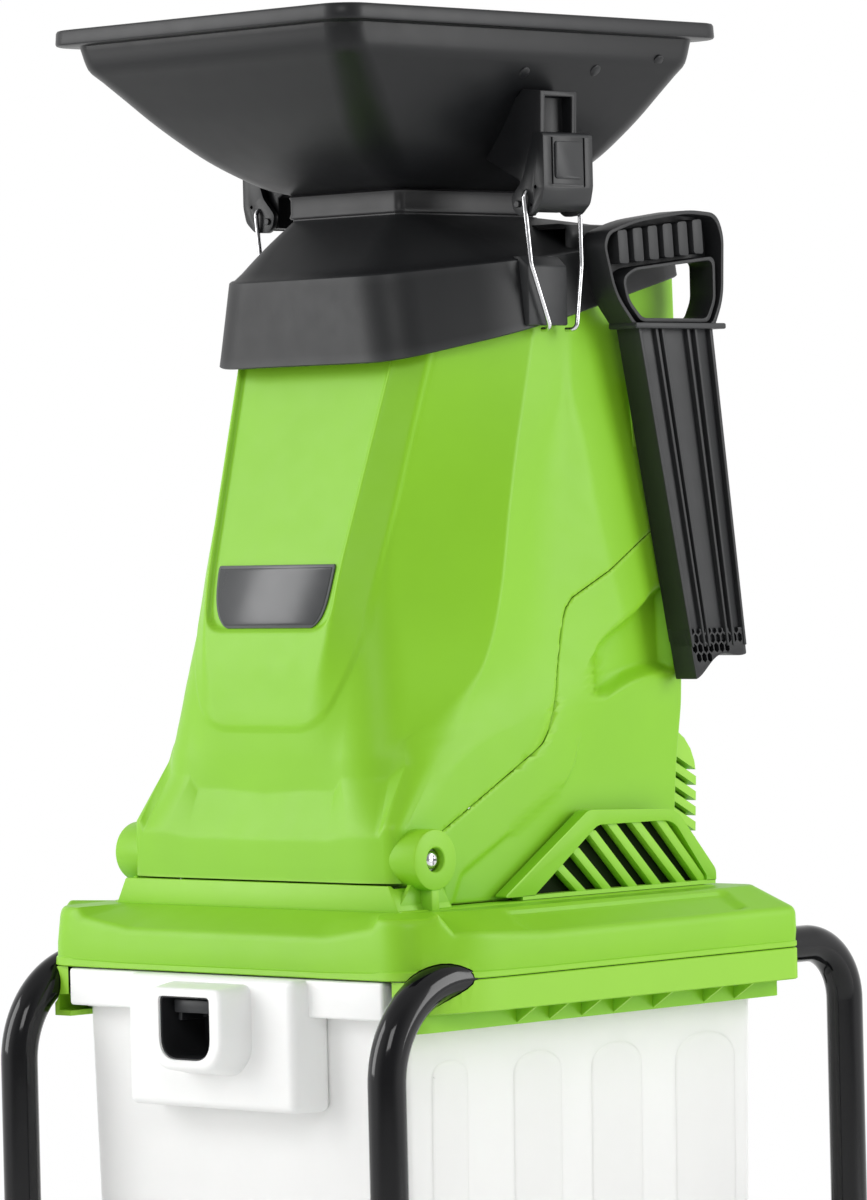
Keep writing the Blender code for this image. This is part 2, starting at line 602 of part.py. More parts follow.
def build_hinges():
    pin = ring_body("pin", (99.0, 0, 0), (1, 0, 0), [(6.0, 0.0), (6.0, 50.4), (8.4, 50.4), (8.4, 53.0), (3.2, 53.0),
                                                    (3.2, 0.0)], 16)
    pin = finish(pin, "hinge_pin_left", "steel")
    screw = turned("screw", (112.0, 0, 0), (1, 0, 0), [(2.8, 0.0), (2.8, 40.4), (6.6, 40.4), (6.6, 41.8),
                                                       (5.4, 44.4)], 16)
    cut(screw, box("slot", 154.6, 158.0, -4.0, 4.0, -0.7, 0.7), box("slot2", 154.6, 158.0, -0.7, 0.7, -4.0, 4.0))
    screw = finish(screw, "hinge_screw_left", "chrome")
    mirror_x(pin, "hinge_pin_right")
    mirror_x(screw, "hinge_screw_right")


# ---------------------------------------------------------------- pusher
def build_pusher():
    """Flat pusher with a D grip, parked on the rear of the left side, leaning with the tower."""
    x0t, x1t, x0b, x1b = 130.0, 154.0, 136.0, 156.0
    blade = loft("blade", [[(x0b, 291.0, 137.0), (x1b, 292.0, 134.0), (x1b, 324.0, 146.0), (x1b, 354.0, 144.0),
                            (x0b, 354.0, 146.0), (x0b, 324.0, 148.0)],
                           [(x0t, 239.0, 394.0), (x1t, 239.0, 394.0), (x1t, 282.0, 394.0), (x1t, 324.0, 394.0),
                            (x0t, 324.0, 394.0), (x0t, 282.0, 394.0)]])
    grip = loft("grip", [[(x, y, z) for y, z in ((236.0, 392.0), (327.0, 392.0), (338.0, 412.0), (340.0, 462.0),
                                                 (332.0, 478.0), (300.0, 479.0), (240.0, 471.0), (208.0, 461.0),
                                                 (206.0, 450.0), (215.0, 418.0))] for x in (x0t, x1t)])
    cut(grip, prism_x("hole", [(240.0, 404.0), (316.0, 404.0), (322.0, 416.0), (322.0, 446.0), (238.0, 440.0),
                               (226.0, 432.0), (230.0, 416.0)], 100.0, 170.0))
    join(grip, box("flange", x0t, x1t + 3.0, 233.0, 334.0, 389.0, 393.5))
    join(grip, blade)
    # recesses between the ribs of the blade
    for ya, yb in ((250.0, 270.0), (277.0, 297.0), (303.0, 317.0)):
        cut(grip, loft("flute", [[(148.5, ya + 44, 165.0), (160.0, ya + 44, 165.0), (160.0, yb + 37, 165.0),
                                  (148.5, yb + 37, 165.0)],
                                 [(146.5, ya, 378.0), (158.0, ya, 378.0), (158.0, yb, 378.0),
                                  (146.5, yb, 378.0)]]))
    return finish(grip, "pusher", "black_plastic", (140.0, 290.0, 300.0))


def build_pusher_bracket():
    """Hook plate on the upper housing that the pusher hangs on."""
    body = loft("bracket", [[(112.0, 262.0, 300.0), (125.5, 262.0, 300.0), (125.5, 296.0, 300.0),
                             (112.0, 296.0, 300.0)],
                            [(112.0, 262.0, 352.0), (124.5, 262.0, 352.0), (124.5, 296.0, 352.0),
                             (112.0, 296.0, 352.0)]])
    levels = [lv for lv in LEVELS if lv[0] >= 217.0]
    cut(body, loft("clear", [tower_ring(lv, -GAP) for lv in levels]))
    return finish(body, "pusher_bracket", "green_plastic")


# ---------------------------------------------------------------- frame, wheels, box
def build_frame():
    tube = tube_path("tube", tube_route(), TUBE_R, 12)
    cut(tube, rod("axle", (170.0, AXLE_Y, AXLE_Z), (220.0, AXLE_Y, AXLE_Z), 6.4, 12))
    tube = finish(tube, "frame_tube_left", "black_paint")
    mirror_x(tube, "frame_tube_right")
    cross = rod("cross", (-(TUBE_X - TUBE_R - GAP), LEG_Y0, -425.0), (TUBE_X - TUBE_R - GAP, LEG_Y0, -425.0), 10.0, 12)
    finish(cross, "front_cross_tube", "black_paint")
    cross = rod("cross", (-(TUBE_X - TUBE_R - GAP), LEG_Y1, -330.0), (TUBE_X - TUBE_R - GAP, LEG_Y1, -330.0), 10.0, 12)
    finish(cross, "rear_cross_tube", "black_paint")
    foot = turned("foot", (TUBE_X, LEG_Y0, -467.0), (0, 0, 1), [(17.0, 0.0), (18.0, 3.0), (17.0, 27.0)], 16)
    cut(foot, rod("socket", (TUBE_X, LEG_Y0, -459.4), (TUBE_X, LEG_Y0, -430.0), 14.5, 16))
    foot = finish(foot, "front_foot_left", "rubber")
    mirror_x(foot, "front_foot_right")
    axle = rod("axle", (-262.0, AXLE_Y, AXLE_Z), (262.0, AXLE_Y, AXLE_Z), 6.0, 12)
    finish(axle, "axle", "steel", (0, AXLE_Y, AXLE_Z))


def build_wheel():
    x0 = 211.5
    profile = [(6.5, 0.0), (18.0, 0.0), (18.0, 8.0), (58.0, 8.0), (60.0, 3.0), (70.0, 3.0), (75.0, 9.0),
               (75.0, 31.0), (70.0, 37.0), (60.0, 37.0), (58.0, 28.0), (20.0, 28.0), (20.0, 38.0), (6.5, 38.0)]
    wheel = ring_body("wheel", (x0, AXLE_Y, AXLE_Z), (1, 0, 0), profile, 32)
    wheel = finish(wheel, "wheel_left", "black_plastic", (x0 + 20.0, AXLE_Y, AXLE_Z))
    cap = turned("cap", (x0 + 38.4, AXLE_Y, AXLE_Z), (1, 0, 0), [(17.0, 0.0), (17.0, 5.0), (13.0, 13.0)], 20)
    cut(cap, rod("bore", (x0 + 36.0, AXLE_Y, AXLE_Z), (262.4, AXLE_Y, AXLE_Z), 6.4, 12))
    cap = finish(cap, "hub_cap_left", "black_plastic", (x0 + 45.0, AXLE_Y, AXLE_Z))
    mirror_x(wheel, "wheel_right")
    mirror_x(cap, "hub_cap_right")


def build_box():
    def ring(x, y0, y1, r, z):
        return rect_ring(x, y0, y1, r, z)
    body = loft("box", [ring(162.0, -45.0, 338.0, 14.0, BOX_Z0), ring(BOX_X, BOX_Y0, BOX_Y1, 14.0, BOX_Z1)])
    cut(body, loft("box_in", [ring(159.0, -42.0, 335.0, 12.0, BOX_Z0 + 3.5),
                              ring(BOX_X - 3.0, BOX_Y0 + 3.0, BOX_Y1 - 3.0, 12.0, BOX_Z1 + 10.0)]))
    for s in (1, -1):
        join(body, box("flange", *sorted((s * 165.2, s * 179.0)), -36.0, 336.0, -117.6, -114.0))
    front = box("rim", -166.0, 166.0, -66.5, -49.5, -113.0, BOX_Z1)
    join(front, loft("panel", [[(x, y, z) for x, y in ((-93.0, -80.0), (93.0, -80.0), (95.0, -49.5),
                                                       (-95.0, -49.5))] for z in (-183.0, BOX_Z1)]))
    join(front, loft("ring", [[(x, -106.0, z) for x, z in ((-38.0, -92.0), (38.0, -92.0), (38.0, -138.0),
                                                          (26.0, -152.0), (-26.0, -152.0), (-38.0, -138.0))],
                              [(x, -78.0, z) for x, z in ((-44.0, -89.0), (44.0, -89.0), (44.0, -140.0),
                                                         (30.0, -156.0), (-30.0, -156.0), (-44.0, -140.0))]]))
    cut(front, box("cup", -27.0, 27.0, -120.0, -55.0, -145.0, -98.0))
    cut(front, box("back", -88.0, 88.0, -76.5, -40.0, -178.0, -100.0))
    join(front, box("cup_wall_l", -31.0, -27.0, -78.0, -55.0, -149.0, -95.0),
         box("cup_wall_r", 27.0, 31.0, -78.0, -55.0, -149.0, -95.0),
         box("cup_back", -31.0, 31.0, -58.0, -55.0, -149.0, -95.0))
    join(body, front)
    return finish(body, "collection_box", "white_plastic", (0, -50.0, -250.0))


def build_box_lock():
    body = box("lock", -26.5, 26.5, -92.0, -60.0, -122.0, -98.6)
    cut(body, box("grip", -20.0, 20.0, -95.0, -70.0, -130.0, -104.0))
    join(body, box("front", -26.5, 26.5, -96.0, -91.0, -112.0, -98.6))
    return finish(body, "box_lock", "black_plastic", (0, -80.0, -110.0))


# ---------------------------------------------------------------- drive
def gear_outline(teeth, backlash, phase=0.0):
    """Involute teeth, pressure angle 20 degrees, stubbed a little so that the small pinion runs free."""
    pitch = MODULE * teeth / 2.0
    base = pitch * math.cos(math.radians(20.0))
    tip, root = pitch + 0.85 * MODULE, pitch - 1.15 * MODULE
    inv = math.tan(math.radians(20.0)) - math.radians(20.0)
    half = math.pi / (2 * teeth) - backlash / (2 * pitch) + inv
    pts = []
    for t in range(teeth):
        mid = 2 * math.pi * (t + phase) / teeth
        flank = []
        for r in (root, max(base, root + 0.05), pitch, tip):
            t_r = math.acos(min(1.0, base / r)) if r > base else 0.0
            flank.append((r, half - (math.tan(t_r) - t_r)))
        for r, a in flank:
            pts.append((r, mid - a))
        for r, a in reversed(flank):
            pts.append((r, mid + a))
    return [(r * math.cos(a), r * math.sin(a)) for r, a in pts]


def disc_prism(name, outline, w0, w1, v0=0.0):
    return loft(name, [[disc_point(u, v + v0, w) for u, v in outline] for w in (w0, w1)])


def disc_rod(name, u, v, w0, w1, r, n=24):
    return turned(name, disc_point(u, v, w0), DISC_AXIS, [(r, 0.0), (r, w1 - w0)], n)


def oblong(r0, r1, v1, n=10):
    """Hull of a circle of radius r0 at v = 0 and one of radius r1 at v = v1."""
    lean = math.asin((r0 - r1) / v1)
    out = []
    for i in range(n + 1):
        a = math.pi - lean + (math.pi + 2 * lean) * i / n
        out.append((r0 * math.cos(a), r0 * math.sin(a)))
    for i in range(n + 1):
        a = lean + (math.pi - 2 * lean) * i / n
        out.append((r1 * math.cos(a), v1 + r1 * math.sin(a)))
    return out


def build_disc():
    disc = disc_rod("disc", 0, 0, 0.0, 8.0, 98.0, 40)
    cut(disc, disc_rod("bore", 0, 0, -5.0, 12.0, 8.0, 16))
    for s in (1, -1):
        cut(disc, disc_prism("window", [(s * 34.0, -30.0), (s * 86.0, -18.0), (s * 86.0, -4.0), (s * 34.0, -16.0)],
                             -5.0, 12.0))
        cut(disc, disc_rod("hole", s * 60.0, 13.0, -5.0, 12.0, 3.6, 12))
    finish(disc, "blade_disc", "steel", disc_point(0, 0, 0))
    for s, name in ((1, "knife_a"), (-1, "knife_b")):
        knife = disc_prism("knife", [(s * 32.0, -2.0), (s * 88.0, -2.0), (s * 88.0, 28.0), (s * 32.0, 28.0)],
                           8.3, 12.5)
        cut(knife, loft("bevel", [[disc_point(s * 20.0, -3.0, 8.2 + 0.6), disc_point(s * 20.0, 5.0, 14.0),
                                   disc_point(s * 20.0, -3.0, 14.0)],
                                  [disc_point(s * 95.0, -3.0, 8.2 + 0.6), disc_point(s * 95.0, 5.0, 14.0),
                                   disc_point(s * 95.0, -3.0, 14.0)]]))
        cut(knife, disc_rod("hole", s * 60.0, 13.0, 4.0, 16.0, 3.6, 12))
        finish(knife, name, "steel", disc_point(0, 0, 0))
        screw = turned("screw", disc_point(s * 60.0, 13.0, 0.6), DISC_AXIS,
                       [(3.1, 0.0), (3.1, 12.2), (6.5, 12.2), (6.5, 15.6)], 12)
        finish(screw, name + "_screw", "steel", disc_point(0, 0, 0))
    bolt = turned("bolt", disc_point(0, 0, -18.0), DISC_AXIS, [(4.0, 0.0), (4.0, 26.4), (15.0, 26.4), (15.0, 29.4)], 20)
    head = turned("head", disc_point(0, 0, 11.0), DISC_AXIS, [(9.5, 0.0), (9.5, 8.0)], 6)
    finish(join(bolt, head), "disc_bolt", "steel", disc_point(0, 0, 0))
    shaft = turned("spindle", disc_point(0, 0, -58.6), DISC_AXIS,
                   [(11.0, 0.0), (11.0, 58.2), (7.6, 58.2), (7.6, 66.2)], 20)
    cut(shaft, disc_rod("bore", 0, 0, -20.0, 12.0, 4.4, 12))
    finish(shaft, "spindle", "steel", disc_point(0, 0, 0))


def build_gears():
    gear = disc_prism("gear", gear_outline(GEAR_TEETH, 0.34, 0.0), -44.0, -32.0)
    cut(gear, disc_rod("bore", 0, 0, -50.0, -20.0, 11.3, 20))
    finish(gear, "spur_gear", "steel", disc_point(0, 0, 0))
    # tooth gap of the pinion faces a tooth of the gear (the gear's tooth 12 points along +v)
    pinion = disc_prism("pinion", gear_outline(PINION_TEETH, 0.34, 9.5), -44.5, -31.5, GEAR_DIST)
    cut(pinion, disc_rod("bore", 0, GEAR_DIST, -50.0, -20.0, 4.3, 12))
    finish(pinion, "motor_pinion", "steel", disc_point(0, GEAR_DIST, 0))
    for name, w in (("spindle_bearing_upper", -19.0), ("spindle_bearing_lower", -58.6)):
        b = ring_body("b", disc_point(0, 0, w), DISC_AXIS, [(11.3, 0.0), (22.0, 0.0), (22.0, 11.0), (11.3, 11.0)], 20)
        finish(b, name, "steel")
    cover = disc_prism("cover", oblong(48.0, 30.0, GEAR_DIST), -28.0, -4.0)
    cut(cover, disc_rod("seat", 0, 0, -30.0, -7.6, 22.4, 20), disc_rod("bore", 0, 0, -30.0, 0.0, 15.0, 20),
        disc_rod("end", 0, GEAR_DIST, -30.0, -14.0, 8.0, 12))
    finish(cover, "gearbox_cover", "aluminium")
    base = disc_prism("base", oblong(48.0, 30.0, GEAR_DIST), -64.0, -28.4)
    cut(base, disc_prism("pocket", oblong(36.0, 14.0, GEAR_DIST), -46.5, -20.0),
        disc_rod("seat", 0, 0, -59.0, -20.0, 22.4, 20),
        disc_rod("shaft", 0, GEAR_DIST, -80.0, -20.0, 8.0, 12))
    finish(base, "gearbox_base", "aluminium")


def build_motor():
    v = GEAR_DIST
    arm = turned("arm", disc_point(0, v, -152.0), DISC_AXIS,
                 [(4.0, 0.0), (4.0, 22.0), (22.0, 22.0), (22.0, 70.0), (4.0, 70.0), (4.0, 133.0)], 16)
    finish(arm, "armature", "steel", disc_point(0, v, 0))
    com = ring_body("com", disc_point(0, v, -147.0), DISC_AXIS, [(4.3, 0.0), (12.5, 0.0), (12.5, 15.0), (4.3, 15.0)], 16)
    finish(com, "commutator", "brass", disc_point(0, v, 0))
    hub = ring_body("fan", disc_point(0, v, -79.0), DISC_AXIS, [(4.3, 0.0), (30.0, 0.0), (30.0, 2.0), (9.0, 2.0),
                                                                (9.0, 9.0), (4.3, 9.0)], 20)
    for k in range(6):
        a = 2 * math.pi * k / 6
        ca, sa = math.cos(a), math.sin(a)
        blade = [(r * ca - t * sa, r * sa + t * ca) for r, t in ((8.0, -1.0), (29.0, -1.0), (29.0, 1.0), (8.0, 1.0))]
        join(hub, disc_prism("blade", blade, -78.0, -70.5, v))
    finish(hub, "motor_fan", "black_plastic", disc_point(0, v, 0))
    stator = ring_body("stator", disc_point(0, v, -130.0), DISC_AXIS, [(23.0, 0.0), (36.5, 0.0), (36.5, 48.0),
                                                                       (23.0, 48.0)], 24)
    finish(stator, "stator", "steel")
    can = ring_body("can", disc_point(0, v, -158.0), DISC_AXIS,
                    [(7.0, 0.0), (39.5, 0.0), (39.5, 93.6), (36.9, 93.6), (36.9, 3.0), (7.0, 3.0)], 24)
    finish(can, "motor_can", "black_plastic")
    for s, name in ((1, "brush_left"), (-1, "brush_right")):
        brush = disc_prism("brush", [(s * 13.0, -4.0), (s * 36.0, -4.0), (s * 36.0, 4.0), (s * 13.0, 4.0)],
                           -145.0, -134.0, v)
        finish(brush, name, "brass")


def build_controls():
    z0, z1 = 118.0, 196.0
    ya, yb = rear_y(z1) + GAP, rear_y(z1) + 34.0
    body = prism_x("switch", [(rear_y(z0) + GAP, z0), (yb - 6.0, z0), (yb, z0 + 8.0), (yb, z1 - 8.0), (yb - 6.0, z1),
                              (ya, z1)], -48.0, 48.0)
    for x in (-24.0, 24.0):
        cut(body, rod("well", (x, yb - 10.0, 170.0), (x, yb + 5.0, 170.0), 11.6, 20))
        cut(body, rod("stem", (x, yb - 24.0, 170.0), (x, yb + 5.0, 170.0), 4.4, 12))
    cut(body, box("socket", -17.0, 17.0, yb - 20.0, yb + 5.0, 122.0, 146.0))
    finish(body, "switch_box", "black_plastic")
    for x, name, slot in ((-24.0, "start_button", "start_green"), (24.0, "stop_button", "red_plastic")):
        b = turned("b", (x, yb - 19.0, 170.0), (0, 1, 0), [(4.0, 0.0), (4.0, 13.5), (11.0, 13.5), (11.0, 22.0),
                                                           (10.0, 23.5)], 20)
        finish(b, name, slot, (x, yb, 170.0))
    inlet = box("inlet", -16.6, 16.6, yb - 19.6, yb - 3.0, 122.4, 145.6)
    cut(inlet, box("mouth", -13.0, 13.0, yb - 16.0, yb + 5.0, 125.5, 142.5))
    for x, z in ((-7.0, 131.0), (0.0, 137.0), (7.0, 131.0)):
        join(inlet, box("blade", x - 1.0, x + 1.0, yb - 18.0, yb - 5.0, z - 2.2, z + 2.2))
    finish(inlet, "power_inlet", "black_plastic")
    # locking knob through the rear of the upper housing
    zk = 292.0
    yk = rear_y(zk + 17.0) + GAP
    knob = turned("knob", (0, yk, zk), (0, 1, 0), [(16.0, 0.0), (16.0, 5.0), (27.0, 7.0), (27.0, 26.0), (24.0, 29.0)], 12)
    for k in range(6):
        a = math.pi * (k + 0.5) / 3
        cut(knob, rod("lobe", (31.0 * math.cos(a), yk + 5.0, zk + 31.0 * math.sin(a)),
                      (31.0 * math.cos(a), yk + 40.0, zk + 31.0 * math.sin(a)), 8.0, 10))
    finish(knob, "lock_knob", "black_plastic", (0, yk + 15.0, zk))
    # interlock: a switch in the lower housing under a tongue of the upper one
    sw = box("interlock", -90.0, -66.0, 262.0, 276.0, 150.0, 184.0)
    finish(sw, "safety_switch", "black_plastic")


def build_label():
    outline = [(-61.0, 217.5), (61.0, 217.5), (61.0, 182.0), (57.0, 174.0), (48.0, 170.0), (-48.0, 170.0),
               (-57.0, 174.0), (-61.0, 182.0)]
    plate = prism_y("plate", outline, -1.0, 1.2)
    plate.data.transform(Matrix.Translation(-mm((0, 0, 217))))
    plate.data.transform(Matrix.Rotation(-math.atan(0.19), 4, "X"))
    plate.data.transform(Matrix.Translation(mm((0, 6.0, 217))))
    return finish(plate, "label_plate", "dark_label", (0, 0, 0))


def main():
    for obj in list(bpy.data.objects):
        bpy.data.objects.remove(obj)
    build_hopper()
    build_collar()
    build_upper_housing()
    build_rear_housing()
    mirror_x(build_side_vent(), "side_vent_right")
    build_rear_vent_cover()
    build_lid_top()
    build_lid_base()
    build_feed_chute()
    mirror_x(build_latch_lever(), "latch_lever_right")
    mirror_x(build_bail(), "bail_wire_right")
    build_hinges()
    build_pusher()
    build_pusher_bracket()
    build_frame()
    build_wheel()
    build_box()
    build_box_lock()
    build_disc()
    build_gears()
    build_motor()
    build_controls()
    build_label()


main()
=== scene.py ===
"""Looks of the electric garden chipper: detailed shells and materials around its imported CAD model.

Lengths are millimetres from the tilting axis of the tower (x across, y to the rear, z up), as in the
part's own design; mm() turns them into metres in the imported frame, whose hinge gives the axis.
"""
import bisect
import math

import bmesh
import bpy
from mathutils import Matrix, Vector


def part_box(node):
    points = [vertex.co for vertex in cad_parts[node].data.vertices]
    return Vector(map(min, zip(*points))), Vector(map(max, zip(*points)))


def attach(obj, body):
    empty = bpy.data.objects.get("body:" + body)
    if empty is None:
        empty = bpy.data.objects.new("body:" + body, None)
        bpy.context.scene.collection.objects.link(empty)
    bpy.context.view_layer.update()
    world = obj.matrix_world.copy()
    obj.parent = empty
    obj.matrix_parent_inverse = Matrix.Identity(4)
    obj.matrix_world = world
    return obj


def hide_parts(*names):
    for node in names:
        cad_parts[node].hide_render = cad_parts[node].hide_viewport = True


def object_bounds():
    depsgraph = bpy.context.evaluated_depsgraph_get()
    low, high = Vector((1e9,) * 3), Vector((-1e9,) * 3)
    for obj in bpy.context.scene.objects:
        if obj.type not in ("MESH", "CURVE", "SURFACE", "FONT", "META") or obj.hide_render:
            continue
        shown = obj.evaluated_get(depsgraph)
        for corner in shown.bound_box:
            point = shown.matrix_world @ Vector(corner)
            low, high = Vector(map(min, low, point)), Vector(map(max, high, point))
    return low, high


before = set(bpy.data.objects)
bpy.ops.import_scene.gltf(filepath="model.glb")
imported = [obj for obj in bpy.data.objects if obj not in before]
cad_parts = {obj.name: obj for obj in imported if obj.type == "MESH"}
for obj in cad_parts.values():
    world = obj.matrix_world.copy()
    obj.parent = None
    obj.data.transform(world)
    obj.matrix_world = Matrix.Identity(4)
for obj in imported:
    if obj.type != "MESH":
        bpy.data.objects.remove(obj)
cad_low, cad_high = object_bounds()
PIN_LOW, PIN_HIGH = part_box("hinge_pin_left")
HINGE = Vector((0.0, (PIN_LOW.y + PIN_HIGH.y) / 2, (PIN_LOW.z + PIN_HIGH.z) / 2))

# ---------------------------------------------------------------- driving dimensions (mm)
RIM_X, RIM_Y0, RIM_Y1, RIM_Z = 160.0, -75.0, 341.0, 623.0
NECK_X, NECK_Y0, NECK_Y1, NECK_Z = 58.5, 82.0, 232.0, 477.6
LATCH_Y, LATCH_X, LATCH_Z = 159.0, 133.0, 482.0
BAIL_X, BAIL_Z, BAIL_R = 142.5, 491.0, 1.75
BOSS_R, BOSS_INNER, BOSS_LENGTH = 22.6, 121.2, 37.8     # round bosses of the tilting axis
TUBE_R, TUBE_X, TUBE_Z, LEG_Y0, LEG_Y1 = 14.0, 195.0, -84.0, -93.0, 414.0
TUBE_GAP = 0.7                               # clearance of the lid around the tubes
BOX_X, BOX_Y0, BOX_Y1, BOX_Z0, BOX_Z1 = 167.0, -51.0, 343.0, -412.0, -88.0
RIM_TOP = -85.0                              # top of the chip box's front rim
FLOOR_R, FLOOR_SHIFT = 2.4, 0.9              # radius of the pale floor, its shift to the front left (m)
TOWER_BOTTOM, SKIRT_BOTTOM = -35.6, -17.0
TOP_EDGE, TOP_SLOPE = 380.0, 0.215           # top of the tower inside the collar, at y 34
SKIN, EDGE_DROP = 3.0, 0.7                   # wall of the moulded shells, rounding of its open edges
WHEEL_X, WHEEL_Z = 211.5, -392.0             # inner face and centre of a wheel, at the rear legs
BASE_X, BASE_Z, SKIRT_Z = 192.0, -122.0, -108.5
GUSSETS = (47.0, 82.0, 117.0, 152.0, 196.0, 253.0, 288.0)


def mm(p):
    return HINGE + Vector(p) * 0.001


# ---------------------------------------------------------------- curves and small maths
def lerp(a, b, t):
    return a + (b - a) * t


def ease(t):
    t = max(0.0, min(1.0, t))
    return t * t * (3.0 - 2.0 * t)


def slopes(xs, ys):
    """Tangents of a curve that never overshoots its points."""
    d = [(ys[i + 1] - ys[i]) / (xs[i + 1] - xs[i]) for i in range(len(xs) - 1)]
    m = [d[0]]
    for a, b in zip(d, d[1:]):
        m.append(0.0 if a * b <= 0 else 2.0 * a * b / (a + b))
    return m + [d[-1]]


def smooth_value(xs, ys, x):
    if x <= xs[0]:
        return ys[0]
    if x >= xs[-1]:
        return ys[-1]
    i = bisect.bisect_right(xs, x) - 1
    m = slopes(xs, ys)
    h = xs[i + 1] - xs[i]
    t = (x - xs[i]) / h
    t2, t3 = t * t, t * t * t
    return ((2 * t3 - 3 * t2 + 1) * ys[i] + (t3 - 2 * t2 + t) * h * m[i]
            + (3 * t2 - 2 * t3) * ys[i + 1] + (t3 - t2) * h * m[i + 1])


def line_value(points, x):
    """Value of a broken line of (x, value) points."""
    if x <= points[0][0]:
        return points[0][1]
    for (x0, v0), (x1, v1) in zip(points, points[1:]):
        if x <= x1:
            return lerp(v0, v1, (x - x0) / (x1 - x0))
    return points[-1][1]


def inside_depth(polygon, x, y):
    """Distance from a point to the outline of a polygon, positive inside it."""
    best, inside = 1e9, False
    for i, (x0, y0) in enumerate(polygon):
        x1, y1 = polygon[(i + 1) % len(polygon)]
        dx, dy = x1 - x0, y1 - y0
        t = max(0.0, min(1.0, ((x - x0) * dx + (y - y0) * dy) / (dx * dx + dy * dy)))
        best = min(best, math.hypot(x - x0 - dx * t, y - y0 - dy * t))
        if (y0 > y) != (y1 > y) and x < dx * (y - y0) / dy + x0:
            inside = not inside
    return best if inside else -best


def arc(cx, cy, r, a0, a1, n):
    out = []
    for i in range(n + 1):
        a = math.radians(lerp(a0, a1, i / n))
        out.append((cx + r * math.cos(a), cy + r * math.sin(a)))
    return out


def round_corners(points, radius, n=5):
    """A closed outline with its corners rounded; radius is one number or one for each corner."""
    out = []
    for i, p in enumerate(points):
        a, b, c = Vector(points[i - 1]), Vector(p), Vector(points[(i + 1) % len(points)])
        r = radius[i] if isinstance(radius, (list, tuple)) else radius
        r = min(r, 0.48 * (a - b).length, 0.48 * (c - b).length)
        s, e = b + (a - b).normalized() * r, b + (c - b).normalized() * r
        for k in range(n + 1):
            t = k / n
            out.append(tuple(s * (1 - t) ** 2 + b * 2 * t * (1 - t) + e * t * t))
    return out


def rounded_path(points, radii, counts, bend=6):
    """An open broken line with rounded corners, always with the same number of points."""
    pts = [Vector(p) for p in points]
    size = [(b - a).length for a, b in zip(pts, pts[1:])]
    trim = [0.0] + [min(radii[i], 0.46 * size[i - 1], 0.46 * size[i])
                    for i in range(1, len(pts) - 1)] + [0.0]
    out, place = [], []
    for i, (a, b) in enumerate(zip(pts, pts[1:])):
        d = (b - a).normalized()
        s, e = a + d * trim[i], b - d * trim[i + 1]
        for k in range(counts[i]):
            out.append(s.lerp(e, k / counts[i]))
            place.append(i + k / counts[i])
        if i < len(pts) - 2:
            after = b + (pts[i + 2] - b).normalized() * trim[i + 1]
            for k in range(bend):
                t = k / bend
                out.append(e * (1 - t) ** 2 + b * 2 * t * (1 - t) + after * t * t)
                place.append(i + 1.0)
    out.append(pts[-1])
    place.append(len(pts) - 1.0)
    return out, place


# ---------------------------------------------------------------- mesh helpers
def new_object(name, bm):
    mesh = bpy.data.meshes.new(name)
    bm.to_mesh(mesh)
    bm.free()
    obj = bpy.data.objects.new(name, mesh)
    bpy.context.scene.collection.objects.link(obj)
    return obj


def mesh_object(name, verts, faces):
    bm = bmesh.new()
    pts = [bm.verts.new(mm(v)) for v in verts]
    for f in faces:
        bm.faces.new([pts[i] for i in f])
    bmesh.ops.recalc_face_normals(bm, faces=bm.faces)
    return new_object(name, bm)


def loft(name, rings, closed=False):
    n = len(rings[0])
    verts = [p for ring in rings for p in ring]
    faces = []
    for i in range(len(rings) if closed else len(rings) - 1):
        a, b = i * n, ((i + 1) % len(rings)) * n
        for j in range(n):
            k = (j + 1) % n
            faces.append((a + j, a + k, b + k, b + j))
    if not closed:
        faces.append(tuple(range(n)))
        faces.append(tuple(reversed(range((len(rings) - 1) * n, len(rings) * n))))
    return mesh_object(name, verts, faces)


def sheet_grid(rows):
    """An open sheet through rows of points."""
    bm = bmesh.new()
    verts = [[bm.verts.new(mm(p)) for p in row] for row in rows]
    for i in range(len(rows) - 1):
        for j in range(len(rows[0]) - 1):
            bm.faces.new((verts[i][j], verts[i][j + 1], verts[i + 1][j + 1], verts[i + 1][j]))
    bmesh.ops.remove_doubles(bm, verts=bm.verts, dist=1e-6)
    bmesh.ops.recalc_face_normals(bm, faces=bm.faces)
    return bm


def prism(name, axis, outline, a, b):
    """An outline of two coordinates drawn out along the axis x, y or z from a to b."""
    place = {"x": lambda u, v, w: (w, u, v), "y": lambda u, v, w: (u, w, v), "z": lambda u, v,
             w: (u, v, w)}[axis]
    return loft(name, [[place(u, v, w) for u, v in outline] for w in (a, b)])


def box(name, x0, x1, y0, y1, z0, z1):
    return prism(name, "z", [(x0, y0), (x1, y0), (x1, y1), (x0, y1)], z0, z1)


def axes_of(direction):
    d = Vector(direction).normalized()
    ref = Vector((1, 0, 0)) if abs(d.x) < 0.9 else Vector((0, 1, 0))
    u = (ref - d * ref.dot(d)).normalized()
    return u, d.cross(u), d


def turned(name, start, direction, profile, n=48, closed=False):
    """A turned body from a profile of (radius, distance along the axis)."""
    u, v, d = axes_of(direction)
    base = Vector(start)
    rings = []
    for r, w in profile:
        rings.append([base + d * w + (u * math.cos(2 * math.pi * k / n)
                                      + v * math.sin(2 * math.pi * k / n)) * r
                      for k in range(n)])
    return loft(name, rings, closed)


